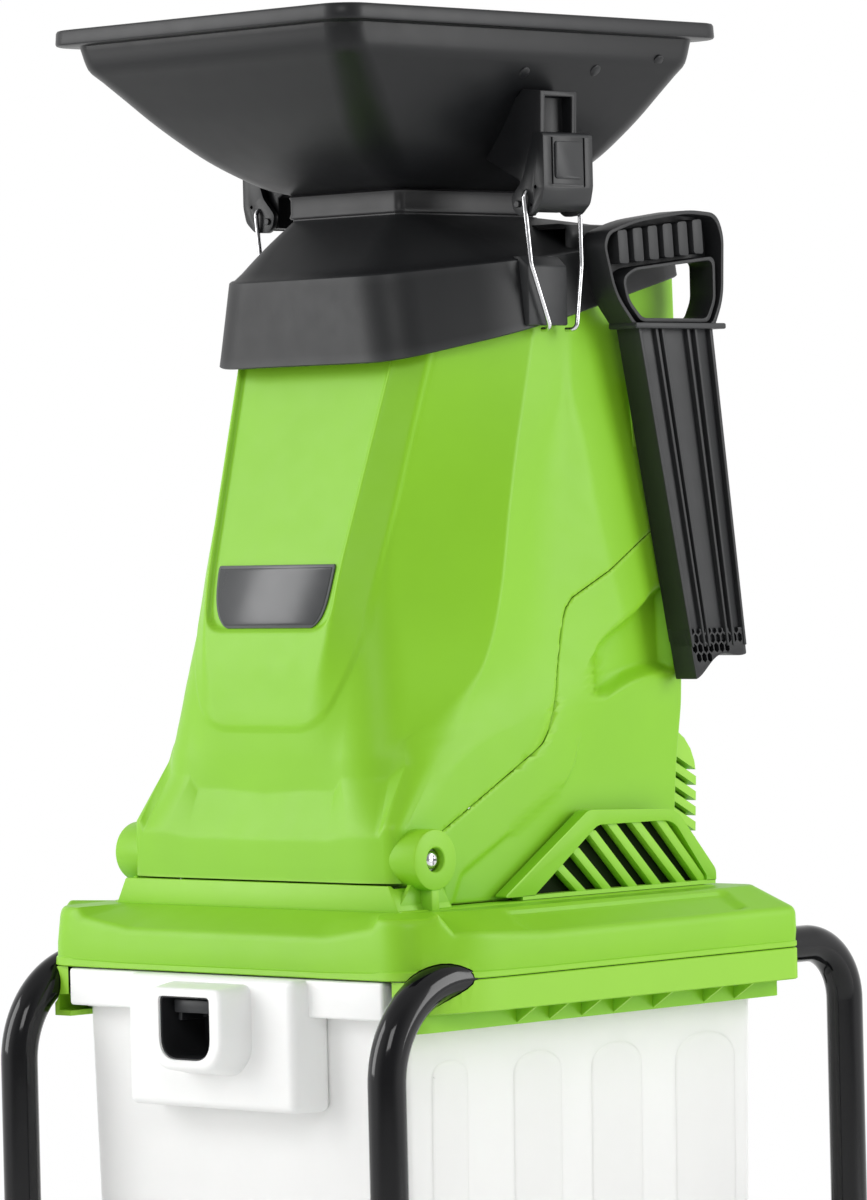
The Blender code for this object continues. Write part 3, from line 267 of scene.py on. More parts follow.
def swept(name, path, r, n=20):
    """A round bar along a path of close points."""
    pts = [Vector(p) for p in path]
    rings, u = [], None
    for i, p in enumerate(pts):
        d = (pts[min(i + 1, len(pts) - 1)] - pts[max(i - 1, 0)]).normalized()
        u = axes_of(d)[0] if u is None else (u - d * u.dot(d)).normalized()
        v = d.cross(u)
        rings.append([p + (u * math.cos(2 * math.pi * k / n) + v * math.sin(2 * math.pi * k / n)) * r
                      for k in range(n)])
    return loft(name, rings)


def combine(target, tool, operation):
    mod = target.modifiers.new("bool", "BOOLEAN")
    mod.operation, mod.solver, mod.object = operation, "EXACT", tool
    bpy.context.view_layer.update()
    result = bpy.data.meshes.new_from_object(target.evaluated_get(bpy.context.evaluated_depsgraph_get()))
    target.modifiers.clear()
    target.data = result
    bpy.data.objects.remove(tool)
    return target


def cut(target, *tools):
    for tool in tools:
        combine(target, tool, "DIFFERENCE")
    return target


def join(target, *tools):
    for tool in tools:
        combine(target, tool, "UNION")
    return target


def gather(name, objects):
    """One object of several separate solids."""
    bm = bmesh.new()
    for obj in objects:
        bm.from_mesh(obj.data)
        bpy.data.objects.remove(obj)
    return new_object(name, bm)


def bevel(obj, width, segments=2, angle=32.0):
    mod = obj.modifiers.new("edges", "BEVEL")
    mod.width, mod.segments, mod.limit_method = width * 0.001, segments, "ANGLE"
    mod.angle_limit = math.radians(angle)
    return obj


def solidify(obj, thickness):
    mod = obj.modifiers.new("wall", "SOLIDIFY")
    mod.thickness, mod.offset = thickness * 0.001, -1.0
    return obj


def smooth(obj, angle=35.0):
    obj.data.shade_smooth()
    obj.data.set_sharp_from_angle(angle=math.radians(angle))
    return obj


def apply_modifiers(obj):
    bpy.context.view_layer.update()
    obj.data = bpy.data.meshes.new_from_object(obj.evaluated_get(bpy.context.evaluated_depsgraph_get()))
    obj.modifiers.clear()
    return obj


def eased(obj, width, segments=2, angle=32.0):
    """A part with its sharp edges rounded at once."""
    return apply_modifiers(bevel(obj, width, segments, angle))


def dress(obj, name, body, look, nodes=(), angle=35.0):
    """Name a piece, give it its material, and let it ride on its body in place of CAD nodes."""
    obj.name = name
    obj.data.name = name
    obj.data.materials.clear()
    obj.data.materials.append(MATERIALS[look])
    if any(m.type == "BEVEL" for m in obj.modifiers):
        apply_modifiers(obj)
    smooth(obj, angle)
    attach(obj, body)
    if nodes:
        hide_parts(*nodes)
    return obj


def mirrored(obj):
    mesh = obj.data.copy()
    mesh.transform(Matrix.Scale(-1.0, 4, Vector((1, 0, 0))))
    mesh.flip_normals()
    copy = bpy.data.objects.new("mirrored", mesh)
    bpy.context.scene.collection.objects.link(copy)
    return copy


def dress_pair(left, name, body, look, node=None, angle=35.0):
    """Dresses a left piece and its mirror image; %s stands for the side in the names."""
    for obj, side in ((left, "left"), (mirrored(left), "right")):
        dress(obj, name % side, body.replace("%s", side), look, [node % side] if node else (), angle)


# ---------------------------------------------------------------- materials
MATERIALS = {}


class Nodes:
    """A short way to build a node material."""

    def __init__(self, name):
        self.mat = bpy.data.materials.new(name)
        self.mat.use_nodes = True
        self.tree = self.mat.node_tree
        self.shader = self.tree.nodes["Principled BSDF"]
        coord = self.add("ShaderNodeTexCoord")
        self.place = coord.outputs["Object"]
        MATERIALS[name] = self.mat

    def add(self, kind, **settings):
        node = self.tree.nodes.new(kind)
        for key, value in settings.items():
            if key in node.inputs:
                node.inputs[key].default_value = value
            else:
                setattr(node, key.lower(), value)
        return node

    def link(self, a, b):
        self.tree.links.new(a, b)

    def noise(self, scale, detail=3.0, rough=0.5):
        node = self.add("ShaderNodeTexNoise", Scale=scale, Detail=detail, Roughness=rough)
        self.link(self.place, node.inputs["Vector"])
        return node.outputs["Fac"]

    def span(self, value, low, high, from_low=0.0, from_high=1.0):
        node = self.add("ShaderNodeMapRange")
        for key, v in (("From Min", from_low), ("From Max", from_high), ("To Min", low), ("To Max", high)):
            node.inputs[key].default_value = v
        self.link(value, node.inputs["Value"])
        return node.outputs["Result"]

    def mix(self, share, a, b):
        node = self.add("ShaderNodeMix", data_type="RGBA")
        if isinstance(share, float):
            node.inputs["Factor"].default_value = share
        else:
            self.link(share, node.inputs["Factor"])
        for key, v in (("A", a), ("B", b)):
            socket = [s for s in node.inputs if s.name == key and s.type == "RGBA"][0]
            if isinstance(v, tuple):
                socket.default_value = (*v, 1.0)
            else:
                self.link(v, socket)
        return [s for s in node.outputs if s.type == "RGBA"][0]

    def painted_edge_highlight(self, low=0.52, high=0.60):
        """Mask of the painted highlight: rises where the surface is convex and sharp."""
        geometry = self.add("ShaderNodeNewGeometry")
        return self.span(geometry.outputs["Pointiness"], 0.0, 1.0, low, high)

    def bump(self, height, strength, distance):
        node = self.add("ShaderNodeBump")
        node.inputs["Strength"].default_value = strength
        node.inputs["Distance"].default_value = distance
        self.link(height, node.inputs["Height"])
        self.link(node.outputs["Normal"], self.shader.inputs["Normal"])

    def set(self, **values):
        for key, value in values.items():
            socket = self.shader.inputs[key.replace("_", " ")]
            if hasattr(value, "links"):
                self.link(value, socket)
            else:
                socket.default_value = (*value, 1.0) if isinstance(value, tuple) else value


def moulded(name, base, edge, rough, grain, grain_depth, drift=0.10, specular=0.5, coat=0.0):
    """Moulded plastic: a fine eroded grain, slow colour drift, and a painted highlight that lightens sharp
    convex edges.
    """
    n = Nodes(name)
    slow = n.noise(9.0, 4.0)
    darker = tuple(c * (1.0 - drift) for c in base)
    lighter = tuple(min(1.0, c * (1.0 + drift)) for c in base)
    body = n.mix(n.span(slow, 0.0, 1.0, 0.3, 0.7), darker, lighter)
    fine = n.noise(grain, 2.0, 0.6)
    # painted highlight: sharp convex edges are mixed towards the lighter edge colour
    body = n.mix(n.span(n.painted_edge_highlight(), 0.0, 0.55), body, edge)
    rough_map = n.span(n.noise(60.0, 3.0), rough - 0.02, rough + 0.025, 0.3, 0.7)
    n.set(Base_Color=body, Roughness=rough_map, Specular_IOR_Level=specular, Coat_Weight=coat)
    n.shader.inputs["Coat Roughness"].default_value = 0.15
    n.bump(fine, 0.35, grain_depth)
    return n


def metal(name, base, rough, scale, stretch, depth):
    """Metal with a drawn or ground grain."""
    n = Nodes(name)
    mapping = n.add("ShaderNodeMapping")
    mapping.inputs["Scale"].default_value = stretch
    n.link(n.place, mapping.inputs["Vector"])
    grain = n.add("ShaderNodeTexNoise", Scale=scale, Detail=4.0)
    n.link(mapping.outputs["Vector"], grain.inputs["Vector"])
    dark = tuple(c * 0.82 for c in base)
    n.set(Base_Color=n.mix(grain.outputs["Fac"], dark, base), Metallic=1.0,
          Roughness=n.span(grain.outputs["Fac"], rough - 0.06, rough + 0.10))
    n.bump(grain.outputs["Fac"], 0.25, depth)
    return n


def make_materials():
    # the third colour of each moulded look is its painted edge highlight on sharp convex edges
    moulded("green", (0.240, 0.560, 0.016), (0.40, 0.74, 0.08), 0.42, 1500.0, 0.00004, 0.03, 0.35)
    moulded("black", (0.0085, 0.009, 0.010), (0.055, 0.058, 0.062), 0.38, 1300.0, 0.00006, 0.12, 0.35)
    moulded("black_gloss", (0.0070, 0.0075, 0.0085), (0.04, 0.04, 0.043), 0.37, 900.0, 0.00002, 0.06, 0.30)
    moulded("black_grain", (0.011, 0.0115, 0.0125), (0.06, 0.062, 0.065), 0.46, 900.0, 0.00012, 0.06, 0.35)
    moulded("label", (0.045, 0.048, 0.052), (0.20, 0.21, 0.22), 0.30, 900.0, 0.00002, 0.06, 0.5)
    moulded("label_face", (0.020, 0.022, 0.025), (0.06, 0.06, 0.065), 0.22, 900.0, 0.00001, 0.06, 0.5)
    moulded("band", (0.010, 0.010, 0.011), (0.06, 0.06, 0.062), 0.42, 900.0, 0.00001, 0.10, 0.35)
    moulded("shade", (0.006, 0.012, 0.003), (0.01, 0.02, 0.005), 0.8, 900.0, 0.00002, 0.06, 0.1)
    moulded("rubber", (0.016, 0.016, 0.016), (0.05, 0.05, 0.05), 0.80, 600.0, 0.00015, 0.15, 0.3)
    moulded("wheel", (0.018, 0.018, 0.019), (0.07, 0.07, 0.07), 0.55, 900.0, 0.00015, 0.15, 0.4)
    moulded("red", (0.55, 0.020, 0.015), (0.80, 0.15, 0.12), 0.30, 900.0, 0.00003, 0.05, 0.5)
    moulded("start", (0.020, 0.36, 0.07), (0.15, 0.55, 0.2), 0.30, 900.0, 0.00003, 0.05, 0.5)
    white = moulded("white", (0.93, 0.94, 0.925), (0.93, 0.94, 0.925), 0.34, 700.0, 0.00004, 0.015, 0.5)
    white.set(Subsurface_Weight=0.35)
    white.shader.inputs["Subsurface Radius"].default_value = (0.010, 0.011, 0.011)
    white.shader.inputs["Subsurface Scale"].default_value = 1.0
    moulded("paint", (0.0035, 0.0035, 0.0045), (0.01, 0.01, 0.011), 0.09, 240.0, 0.00002, 0.10, 0.30, 0.15)
    metal("chrome", (0.80, 0.80, 0.82), 0.14, 90.0, (1.0, 1.0, 6.0), 0.00001)
    metal("steel", (0.50, 0.50, 0.51), 0.32, 260.0, (1.0, 8.0, 1.0), 0.00003)
    metal("aluminium", (0.62, 0.63, 0.64), 0.42, 420.0, (1.0, 1.0, 1.0), 0.00008)
    metal("brass", (0.70, 0.43, 0.20), 0.30, 300.0, (1.0, 1.0, 5.0), 0.00002)
    floor_material()


def floor_material():
    """Pale floor that fades out at its rim, so that it has no edge."""
    floor = Nodes("floor")
    tone = floor.mix(floor.span(floor.noise(3.0, 3.0), 0.0, 1.0, 0.3, 0.7), (0.90, 0.90, 0.90),
                     (0.93, 0.93, 0.93))
    floor.set(Base_Color=tone, Roughness=0.6)
    reach = floor.add("ShaderNodeVectorMath", operation="LENGTH")
    floor.link(floor.place, reach.inputs[0])
    fade = floor.add("ShaderNodeMixShader")
    floor.link(floor.span(reach.outputs["Value"], 0.0, 1.0, 0.8 * FLOOR_R, FLOOR_R), fade.inputs[0])
    floor.link(floor.shader.outputs["BSDF"], fade.inputs[1])
    floor.link(floor.add("ShaderNodeBsdfTransparent").outputs["BSDF"], fade.inputs[2])
    floor.link(fade.outputs["Shader"], floor.tree.nodes["Material Output"].inputs["Surface"])


NODE_LOOKS = {
    "green": ["side_vent_left", "side_vent_right", "rear_vent_cover", "lid_top", "lid_base", "upper_housing",
              "rear_housing", "pusher_bracket"],
    "black": ["top_collar", "feed_chute", "latch_lever_left", "latch_lever_right", "pusher", "hub_cap_left",
              "hub_cap_right", "box_lock", "motor_fan", "motor_can", "switch_box", "power_inlet",
              "lock_knob",
              "safety_switch"],
    "black_gloss": ["hopper"],
    "label": ["label_plate"],
    "white": ["collection_box"],
    "paint": ["frame_tube_left", "frame_tube_right", "front_cross_tube", "rear_cross_tube"],
    "rubber": ["front_foot_left", "front_foot_right"],
    "wheel": ["wheel_left", "wheel_right"],
    "chrome": ["bail_wire_left", "bail_wire_right", "hinge_screw_left", "hinge_screw_right"],
    "steel": ["hinge_pin_left", "hinge_pin_right", "axle", "blade_disc", "knife_a", "knife_b",
              "knife_a_screw",
              "knife_b_screw", "disc_bolt", "spindle", "spur_gear", "motor_pinion", "spindle_bearing_upper",
              "spindle_bearing_lower", "armature", "stator"],
    "aluminium": ["gearbox_cover", "gearbox_base"],
    "brass": ["commutator", "brush_left", "brush_right"],
    "red": ["stop_button"],
    "start": ["start_button"],
}


def colour_nodes():
    for look, names in NODE_LOOKS.items():
        for name in names:
            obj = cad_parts[name]
            obj.data.materials.clear()
            obj.data.materials.append(MATERIALS[look])


# ---------------------------------------------------------------- tower surface
# height, front y, panel rim x, front corner x y, side crease x y, valley x y, ridge x y, rear corner x
STATIONS = [
    (-36.0, -27.0, 60.0, 112.0, -27.0, 140.0, -22.0, 140.0, 2.0, 140.0, 130.0, 131.0),
    (14.0, -27.0, 60.0, 112.0, -27.0, 140.0, -22.0, 140.0, 2.0, 140.0, 130.0, 131.0),
    (46.0, -16.5, 58.0, 100.0, -16.5, 134.5, 12.0, 140.0, 36.0, 140.0, 130.0, 131.0),
    (64.0, -17.2, 56.0, 102.0, -15.5, 134.0, 18.0, 140.0, 50.0, 140.0, 140.0, 131.0),
    (80.0, -17.8, 56.0, 104.0, -12.5, 134.0, 27.0, 140.0, 70.0, 140.0, 150.0, 131.0),
    (98.0, -18.0, 57.0, 106.0, -8.0, 134.6, 40.0, 139.6, 100.0, 140.0, 165.0, 131.0),
    (118.0, -17.0, 59.0, 106.0, -2.6, 135.8, 60.0, 137.2, 122.0, 140.0, 196.0, 130.0),
    (140.0, -15.6, 62.0, 104.0, 4.0, 137.0, 79.0, 134.4, 138.0, 139.6, 224.0, 129.0),
    (170.0, -11.0, 66.0, 99.0, 11.5, 137.8, 92.0, 132.6, 145.0, 139.0, 231.0, 127.0),
    (200.0, -5.2, 68.2, 95.0, 17.8, 138.0, 100.0, 131.6, 149.0, 138.2, 222.0, 125.0),
    (256.0, 11.6, 72.4, 94.2, 33.0, 136.0, 112.0, 129.6, 161.0, 135.8, 207.0, 121.0),
    (300.0, 25.5, 75.6, 97.0, 46.4, 133.2, 124.0, 128.8, 171.0, 133.0, 199.0, 118.0),
    (343.0, 39.0, 78.8, 99.6, 60.0, 130.0, 138.0, 128.6, 181.0, 130.0, 189.0, 114.0),
    (400.0, 57.0, 83.0, 103.0, 78.0, 126.0, 156.0, 125.2, 186.0, 124.8, 196.0, 108.0),
    (440.0, 69.6, 86.0, 105.0, 90.0, 122.0, 168.0, 121.4, 190.0, 121.0, 198.0, 104.0),
    (460.0, 76.0, 87.5, 106.0, 96.0, 120.0, 174.0, 119.5, 192.0, 119.0, 199.0, 102.0)]
CREASES = (14.0, 46.0)                       # heights where the surface changes slope at once
RADII = {  # corner: points of (height, radius)
    1: [(60.0, 14.0), (160.0, 3.0)], 2: [(60.0, 30.0), (98.0, 26.0), (125.0, 22.0), (170.0, 14.0),
                                         (220.0, 5.0)],
    3: [(46.0, 24.0), (80.0, 20.0), (98.0, 13.0), (118.0, 6.0), (140.0, 2.2)], 4: [(14.0, 20.0)],
    5: [(140.0, 30.0), (170.0, 6.0)], 6: [(14.0, 5.0)]}
COUNTS = (34, 11, 24, 20, 34, 66, 12)        # points on each side of the outline
LIFT_LOW, LIFT_HIGH = (0.0, 0.5, 4.0, 10.0, 12.0, 0.0, 0.0, 0.0), (0.0, 3.0, 13.0, 22.0, 22.0, 0.0, 0.0, 0.0)
LIFT_END = 98.0


def rear_y(z):
    return 299.0 + 0.09 * (max(z, 14.0) - 14.0)


def station_values(z):
    heights = [s[0] for s in STATIONS]
    spans = [0.0 + heights[0], *CREASES, heights[-1]]
    k = max(0, min(len(spans) - 2, bisect.bisect_right(spans, z) - 1))
    i0, i1 = heights.index(spans[k]), heights.index(spans[k + 1])
    part = STATIONS[i0:i1 + 1]
    xs = [s[0] for s in part]
    return [smooth_value(xs, [s[c] for s in part], z) for c in range(1, 12)]


def half_ring(z):
    """The right half of the tower's outline at one height, front to rear, and where each point is on it."""
    fy, rim, cx, cy, kx, ky, bx, by, gx, gy, rx = station_values(z)
    ry = rear_y(z)
    corners = [(0.0, fy), (rim, fy), (cx, cy), (kx, ky), (bx, by), (gx, gy), (rx, ry), (0.0, ry)]
    radii = [0.0] + [line_value(RADII[i], z) for i in range(1, 7)] + [0.0]
    return rounded_path(corners, radii, COUNTS)


def build_columns(step=2.4):
    """Every column of the tower's surface as points from its foot to its top."""
    heights = [STATIONS[0][0] + step * k for k in range(int((STATIONS[-1][0] - STATIONS[0][0]) / step) + 1)]
    columns, place = [], None
    for z in heights:
        ring, place = half_ring(z)
        for j, p in enumerate(ring):
            if len(columns) <= j:
                columns.append([])
            low, high = (line_value(list(enumerate(t)), place[j]) for t in (LIFT_LOW, LIFT_HIGH))
            lift = line_value([(SKIRT_BOTTOM, 0.0), (CREASES[0], low), (CREASES[1], high),
                               (LIFT_END, 0.0)], z)
            columns[j].append(Vector((p.x, p.y, z + lift)))
    return columns


SPLIT = [(18.3, 14.3), (134.5, 76.0), (139.0, 79.5), (145.5, 89.0), (151.0, 103.0), (155.5, 117.0),
         (169.0, 170.0), (173.0, 179.5), (180.0, 187.0), (262.5, 228.0), (400.0, 291.0)]


RECESS = round_corners([(-66.0, 167.0), (66.0, 167.0), (86.5, 445.0), (-86.5, 445.0)],
                       [20.0, 20.0, 2.0, 2.0], 8)
FRAME_U = round_corners([(-62.0, 94.0), (62.0, 94.0), (89.0, 150.0), (106.0, 445.0), (-106.0, 445.0),
                         (-89.0, 150.0)],
                        [26.0, 26.0, 40.0, 2.0, 2.0, 40.0], 8)
SCOOP = round_corners([(199.0, 150.0), (198.0, 112.0), (207.0, 107.0), (250.0, 123.0), (300.0, 127.0),
                       (300.0, 199.0),
                       (275.0, 192.0), (257.0, 180.0), (219.0, 163.0)],
                      [16.0, 10.0, 8.0, 20.0, 4.0, 4.0, 6.0, 10.0, 16.0], 6)
WINDOW = [(126.0, -40.0), (186.0, 14.0), (262.0, 14.0), (300.0, -40.0)]
PAD_EDGE = [(35.0, -36.0), (46.0, -13.0), (153.0, 42.0), (164.0, 49.0), (173.0, 61.0), (191.0, 114.0),
            (210.0, 180.0)]


def feature_depth(p):
    """How far the surface stands back (negative) or proud at a point, from its panels and steps."""
    depth = 0.0
    if p.z > 80.0 and p.y < 110.0:
        depth += 1.3 * ease(inside_depth(FRAME_U, abs(p.x), p.z) / 2.6)
        depth -= 4.6 * ease(inside_depth(RECESS, abs(p.x), p.z) / 4.0)
    if p.x > 100.0 and p.y > 150.0 and 90.0 < p.z < 215.0:
        d = inside_depth(SCOOP, p.y, p.z)
        depth -= 11.0 * ease(d / 10.0) if d > 0 else 0.0
    if p.x > 100.0 and p.z < line_value(SPLIT, p.y):
        behind = p.y - line_value([(z, y) for y, z in PAD_EDGE], p.z)
        fade = 1.0 - ease((p.z - 46.0) / 75.0)
        depth -= 2.4 * ease(behind / 3.6) * fade
    return depth


def displaced(rows):
    """Moves each point of a grid of rows along its normal by feature_depth."""
    out = []
    for i, row in enumerate(rows):
        line = []
        for j, p in enumerate(row):
            across = row[min(j + 1, len(row) - 1)] - row[max(j - 1, 0)]
            along = rows[min(i + 1, len(rows) - 1)][j] - rows[max(i - 1, 0)][j]
            normal = across.cross(along)
            normal = normal.normalized() if normal.length > 1e-9 else Vector((0, 0, 0))
            line.append(p + normal * feature_depth(p))
        out.append(line)
    return out


def whole_rows(rows):
    """Rows all the way round the tower, open at the rear seam, from rows of its right half."""
    return [[Vector((-p.x, p.y, p.z)) for p in reversed(row)] + row[1:] for row in rows]


def region(upper):
    """Outline in y and z of one housing, with half of the parting gap taken off."""
    s = 0.35 if upper else -0.35
    swing = arc(0.0, 0.0, 31.8 if upper else 32.5, -32.0, 35.6 if upper else 34.5, 8)
    line = swing + [(y - s * 0.5, z + s * 0.85) for y, z in SPLIT[1:]]
    if upper:
        return [(-80.0, SKIRT_BOTTOM)] + line + [(400.0, TOP_EDGE + 366.0 * TOP_SLOPE),
                                                (-80.0, TOP_EDGE - 114.0 * TOP_SLOPE)]
    return line + [(400.0, TOWER_BOTTOM), (28.0, TOWER_BOTTOM)]


def clip(bm, outline):
    """Cuts a sheet exactly along an outline in y and z and keeps what lies inside it."""
    local = {v: (v.co - HINGE) * 1000.0 for v in bm.verts}
    depth = {v: inside_depth(outline, p.y, p.z) for v, p in local.items()}
    new = []
    for e in list(bm.edges):
        v0, v1 = e.verts
        d0, d1 = depth[v0], depth[v1]
        if d0 * d1 < 0.0:
            new.append(bmesh.utils.edge_split(e, v0, d0 / (d0 - d1))[1])
    for v in new:
        depth[v] = 0.0
    bmesh.ops.connect_verts(bm, verts=new)
    out = [f for f in bm.faces if sum(depth[v] for v in f.verts) <= 0.0]
    bmesh.ops.delete(bm, geom=out, context="FACES")
    bmesh.ops.delete(bm, geom=[v for v in bm.verts if not v.link_faces], context="VERTS")


def roll_edges(bm, drop):
    """Draws the open edges of a sheet a little inwards, which rounds the edge of the wall."""
    bm.normal_update()
    for v in bm.verts:
        if v.is_boundary:
            v.co -= v.normal * drop * 0.001


def tower_sheet(name, rows, upper):
    """One housing's part of the tower's surface, as a wall."""
    bm = sheet_grid(rows)
    clip(bm, region(upper))
    if not upper:
        cut_windows(bm)
    roll_edges(bm, EDGE_DROP)
    return solidify(new_object(name, bm), SKIN)


def cut_windows(bm):
    out = []
    for f in bm.faces:
        p = (f.calc_center_median() - HINGE) * 1000.0
        at_side = abs(p.x) > 132.0 and inside_depth(WINDOW, p.y, p.z) > 0.0
        at_back = abs(p.x) < 92.0 and p.y > 290.0 and -2.0 < p.z < 70.0
        if at_side or at_back:
            out.append(f)
    bmesh.ops.delete(bm, geom=out, context="FACES")


def build_tower():
    rows = whole_rows(displaced([list(row) for row in zip(*build_columns())]))
    for name, body, upper in (("upper_housing", "tower", True), ("rear_housing", "stand", False)):
        skin = tower_sheet(name, rows, upper)
        dress(skin, name + "_skin", body, "green", [name], 60.0)


# ---------------------------------------------------------------- hopper, collar and label
BOWL = [(497.0, 0.0), (500.0, 0.12), (507.0, 0.25), (522.0, 0.444), (537.0, 0.583), (553.0, 0.708),
        (569.0, 0.815), (584.0, 0.912), (593.0, 0.968), (610.0, 1.0)]
MARKS_FRONT = [(-123.0, 594.0), (-55.0, 586.0), (16.0, 581.5)]     # round ejector marks on the bowl
MARKS_SIDE = [(138.0, 580.5), (214.0, 584.5), (280.0, 594.0)]


def rounded_rect(x, y0, y1, r, z, n=10):
    out = []
    for cx, cy, start in ((x - r, y1 - r, 0), (-x + r, y1 - r, 90), (-x + r, y0 + r, 180),
                          (x - r, y0 + r, 270)):
        out += [(px, py, z) for px, py in arc(cx, cy, r, start, start + 90.0, n)]
    return out


def bowl_ring(z, inset=0.0, rise=0.0):
    k = smooth_value([b[0] for b in BOWL], [b[1] for b in BOWL], z)
    x = NECK_X + (147.0 - NECK_X) * k - inset
    y0 = NECK_Y0 + (-62.0 - NECK_Y0) * k ** 1.08 + inset
    y1 = NECK_Y1 + (328.0 - NECK_Y1) * k ** 0.92 - inset
    return rounded_rect(x, y0, y1, 6.0 + 16.0 * k + 60.0 * k * (1.0 - k), z + rise)


def build_hopper():
    heights = [lerp(497.0, 610.0, k / 34) for k in range(35)]
    rings = [rounded_rect(NECK_X, NECK_Y0, NECK_Y1, 6.0, NECK_Z)]
    rings += [bowl_ring(z) for z in heights]
    for grow, drop in ((-13.0, 12.4), (-2.0, 12.1), (-0.6, 11.5), (0.0, 10.2), (-0.4, 2.0), (-1.2, 0.4),
                       (-2.6, 0.0), (-9.0, 0.0), (-12.0, 1.0), (-13.6, 3.5), (-15.8, 11.0)):
        rings.append(rounded_rect(RIM_X + grow, RIM_Y0 - grow, RIM_Y1 + grow, 22.0 + grow * 0.2, RIM_Z
                                  - drop))
    rings += [bowl_ring(z, 2.6, 2.4) for z in reversed(heights[3:-2])]
    rings += [rounded_rect(NECK_X - 3.0, NECK_Y0 + 3.0, NECK_Y1 - 3.0, 5.0, z) for z in (495.0, NECK_Z)]
    parts = [loft("bowl", rings, closed=True)]
    for x, z in MARKS_FRONT:
        y = bowl_ring(z)[-5][1]
        parts.append(turned("mark", (x, y + 1.4, z), (0.0, -0.80, -0.6),
                            [(5.0, 0.0), (5.0, 1.5), (4.4, 1.9)], 24))
    for y, z in MARKS_SIDE:
        x = bowl_ring(z)[0][0]
        for s in (1, -1):
            parts.append(turned("mark", (s * (x - 1.4), y, z), (s * 0.80, 0.0, -0.6),
                                [(5.0, 0.0), (5.0, 1.5), (4.4, 1.9)], 24))
    for s in (1, -1):
        tongue = prism("tongue", "y", [(s * x, z) for x, z in
                       ((90, 520), (128, 500), (128.5, 476.5), (138.5, 476.5), (139, 500), (150, 510),
                        (152, 566),
                        (133, 568), (120, 556), (95, 532))], 139.0, 179.0)
        low, high = sorted((s * 141.0, s * 160.0))
        cut(tongue, box("slot", low, high, 144.5, 173.5, 520.0, 562.0))
        parts.append(eased(tongue, 1.0))
        parts.append(turned("stud", (s * LATCH_X, 130.0, LATCH_Z), (0, 1, 0),
                            [(2.2, 0.0), (2.7, 0.5), (2.7, 57.5),
                                                                              (2.2, 58.0)], 24))
    dress(gather("hopper", parts), "hopper_shell", "tower", "black_gloss", ["hopper"], 40.0)
    band = [rounded_rect(NECK_X + g, NECK_Y0 - g, NECK_Y1 + g, 7.0, z) for g, z in
            ((0.1, 478.6), (1.6, 479.0), (2.2, 480.2), (1.4, 483.0), (1.4, 493.0), (2.2, 495.4),
             (1.0, 496.8),
             (0.1, 496.8))]
    dress(loft("band", band, closed=True), "hopper_neck_band", "tower", "band", (), 50.0)


def collar_half(a, yf, w, yc, ys, c, yr, z0, slope, inset=0.0):
    half = [(a - 0.7 * inset, yf + inset), (w - inset, yc + 0.3 * inset), (w - inset, ys - 0.4 * inset),
            (c - 0.8 * inset, yr - inset)]
    ring = round_corners(half + [(-x, y) for x, y in reversed(half)],
                         [30.0, 26.0, 9.0, 9.0, 9.0, 9.0, 26.0, 30.0], 10)
    return [Vector((x, y, z0 + slope * (y - 34.0))) for x, y in ring]


def collar_rings(inset, low=0.0, top=0.0):
    return (collar_half(97.0, 30.0, 134.0, 124.0, 184.0, 106.0, 343.0, 366.0 + low, 0.215, inset),
            collar_half(84.0, 31.0, 128.0, 124.0, 182.0, 103.0, 341.0, 431.0, 0.10, inset),
            collar_half(56.0, 80.0, 62.0, 96.0, 216.0, 60.0, 236.0, 476.0 + top, 0.0, inset * 0.6))


def between(a, b, t, rise=0.0):
    return [p.lerp(q, t) + Vector((0, 0, rise)) for p, q in zip(a, b)]


def build_collar():
    a, b, c = collar_rings(0.0, 0.0, 1.0)
    a1, b1, c1 = collar_rings(1.2, 0.0, 1.0)
    b2 = collar_rings(3.4)[1]
    ai, bi, ci = collar_rings(3.6, 0.0, -3.0)
    rings = [between(ai, bi, 0.0, 1.0), between(a1, b1, 0.0, -0.2), between(a, b, 0.0, 0.9)]
    rings += [between(a, b, k / 8) for k in range(1, 8)]
    rings += [between(a, b, 0.985), between(a1, b1, 1.0, 0.4), between(b2, c, 0.0, 1.0)]
    rings += [between(b2, c, k / 8, 1.6 * math.sin(math.pi * k / 8)) for k in range(1, 9)]
    rings += [between(c1, c1, 0.0, 0.6), ci]
    rings += [between(bi, ci, k / 4) for k in (3, 2, 1, 0)]
    body = loft("collar", rings, closed=True)
    hood = []
    for z, inset in ((372.0, 0.6), (374.0, 0.0), (460.0, 0.0), (466.0, 1.4), (469.0, 4.0), (470.0, 8.0)):
        out = round_corners([(118.0 - inset, 205.0), (101.0 - inset, 340.0 - inset),
                             (-101.0 + inset, 340.0 - inset),
                             (-118.0 + inset, 205.0)], 8.0, 5)
        hood.append([(x, y, z + (0.215 * (y - 34.0) if z < 400 else 0.0)) for x, y in out])
    parts = [body]
    hood = loft("hood", hood)
    cut(hood, loft("hood_in", [[(x, y, z) for x, y in ((114.4, 190.0), (97.6, 336.6), (-97.6, 336.6),
                                                     (-114.4, 190.0))] for z in (350.0, 466.0)]))
    solid = loft("trim", [collar_half(97.0, 30.0, 134.0, 124.0, 184.0, 106.0, 343.0, 300.0, 0.215, 3.4),
                          collar_half(97.0, 30.0, 134.0, 124.0, 184.0, 106.0, 343.0, 366.0, 0.215, 3.4),
                          *collar_rings(3.4)[1:]])
    parts.append(cut(hood, solid))
    for s in (1, -1):
        pad = prism("pad", "y", [(s * 124.0, 392.0), (s * 137.0, 391.5), (s * 137.0, 436.0),
                                 (s * 128.0, 444.0),
                                 (s * 118.0, 444.0)], 137.0, 180.0)
        parts.append(eased(pad, 1.4))
    dress(gather("collar", parts), "top_collar_shell", "tower", "black_grain",
          ["top_collar"], 32.0)


def recess_y(z):
    return station_values(z)[0] + 3.3


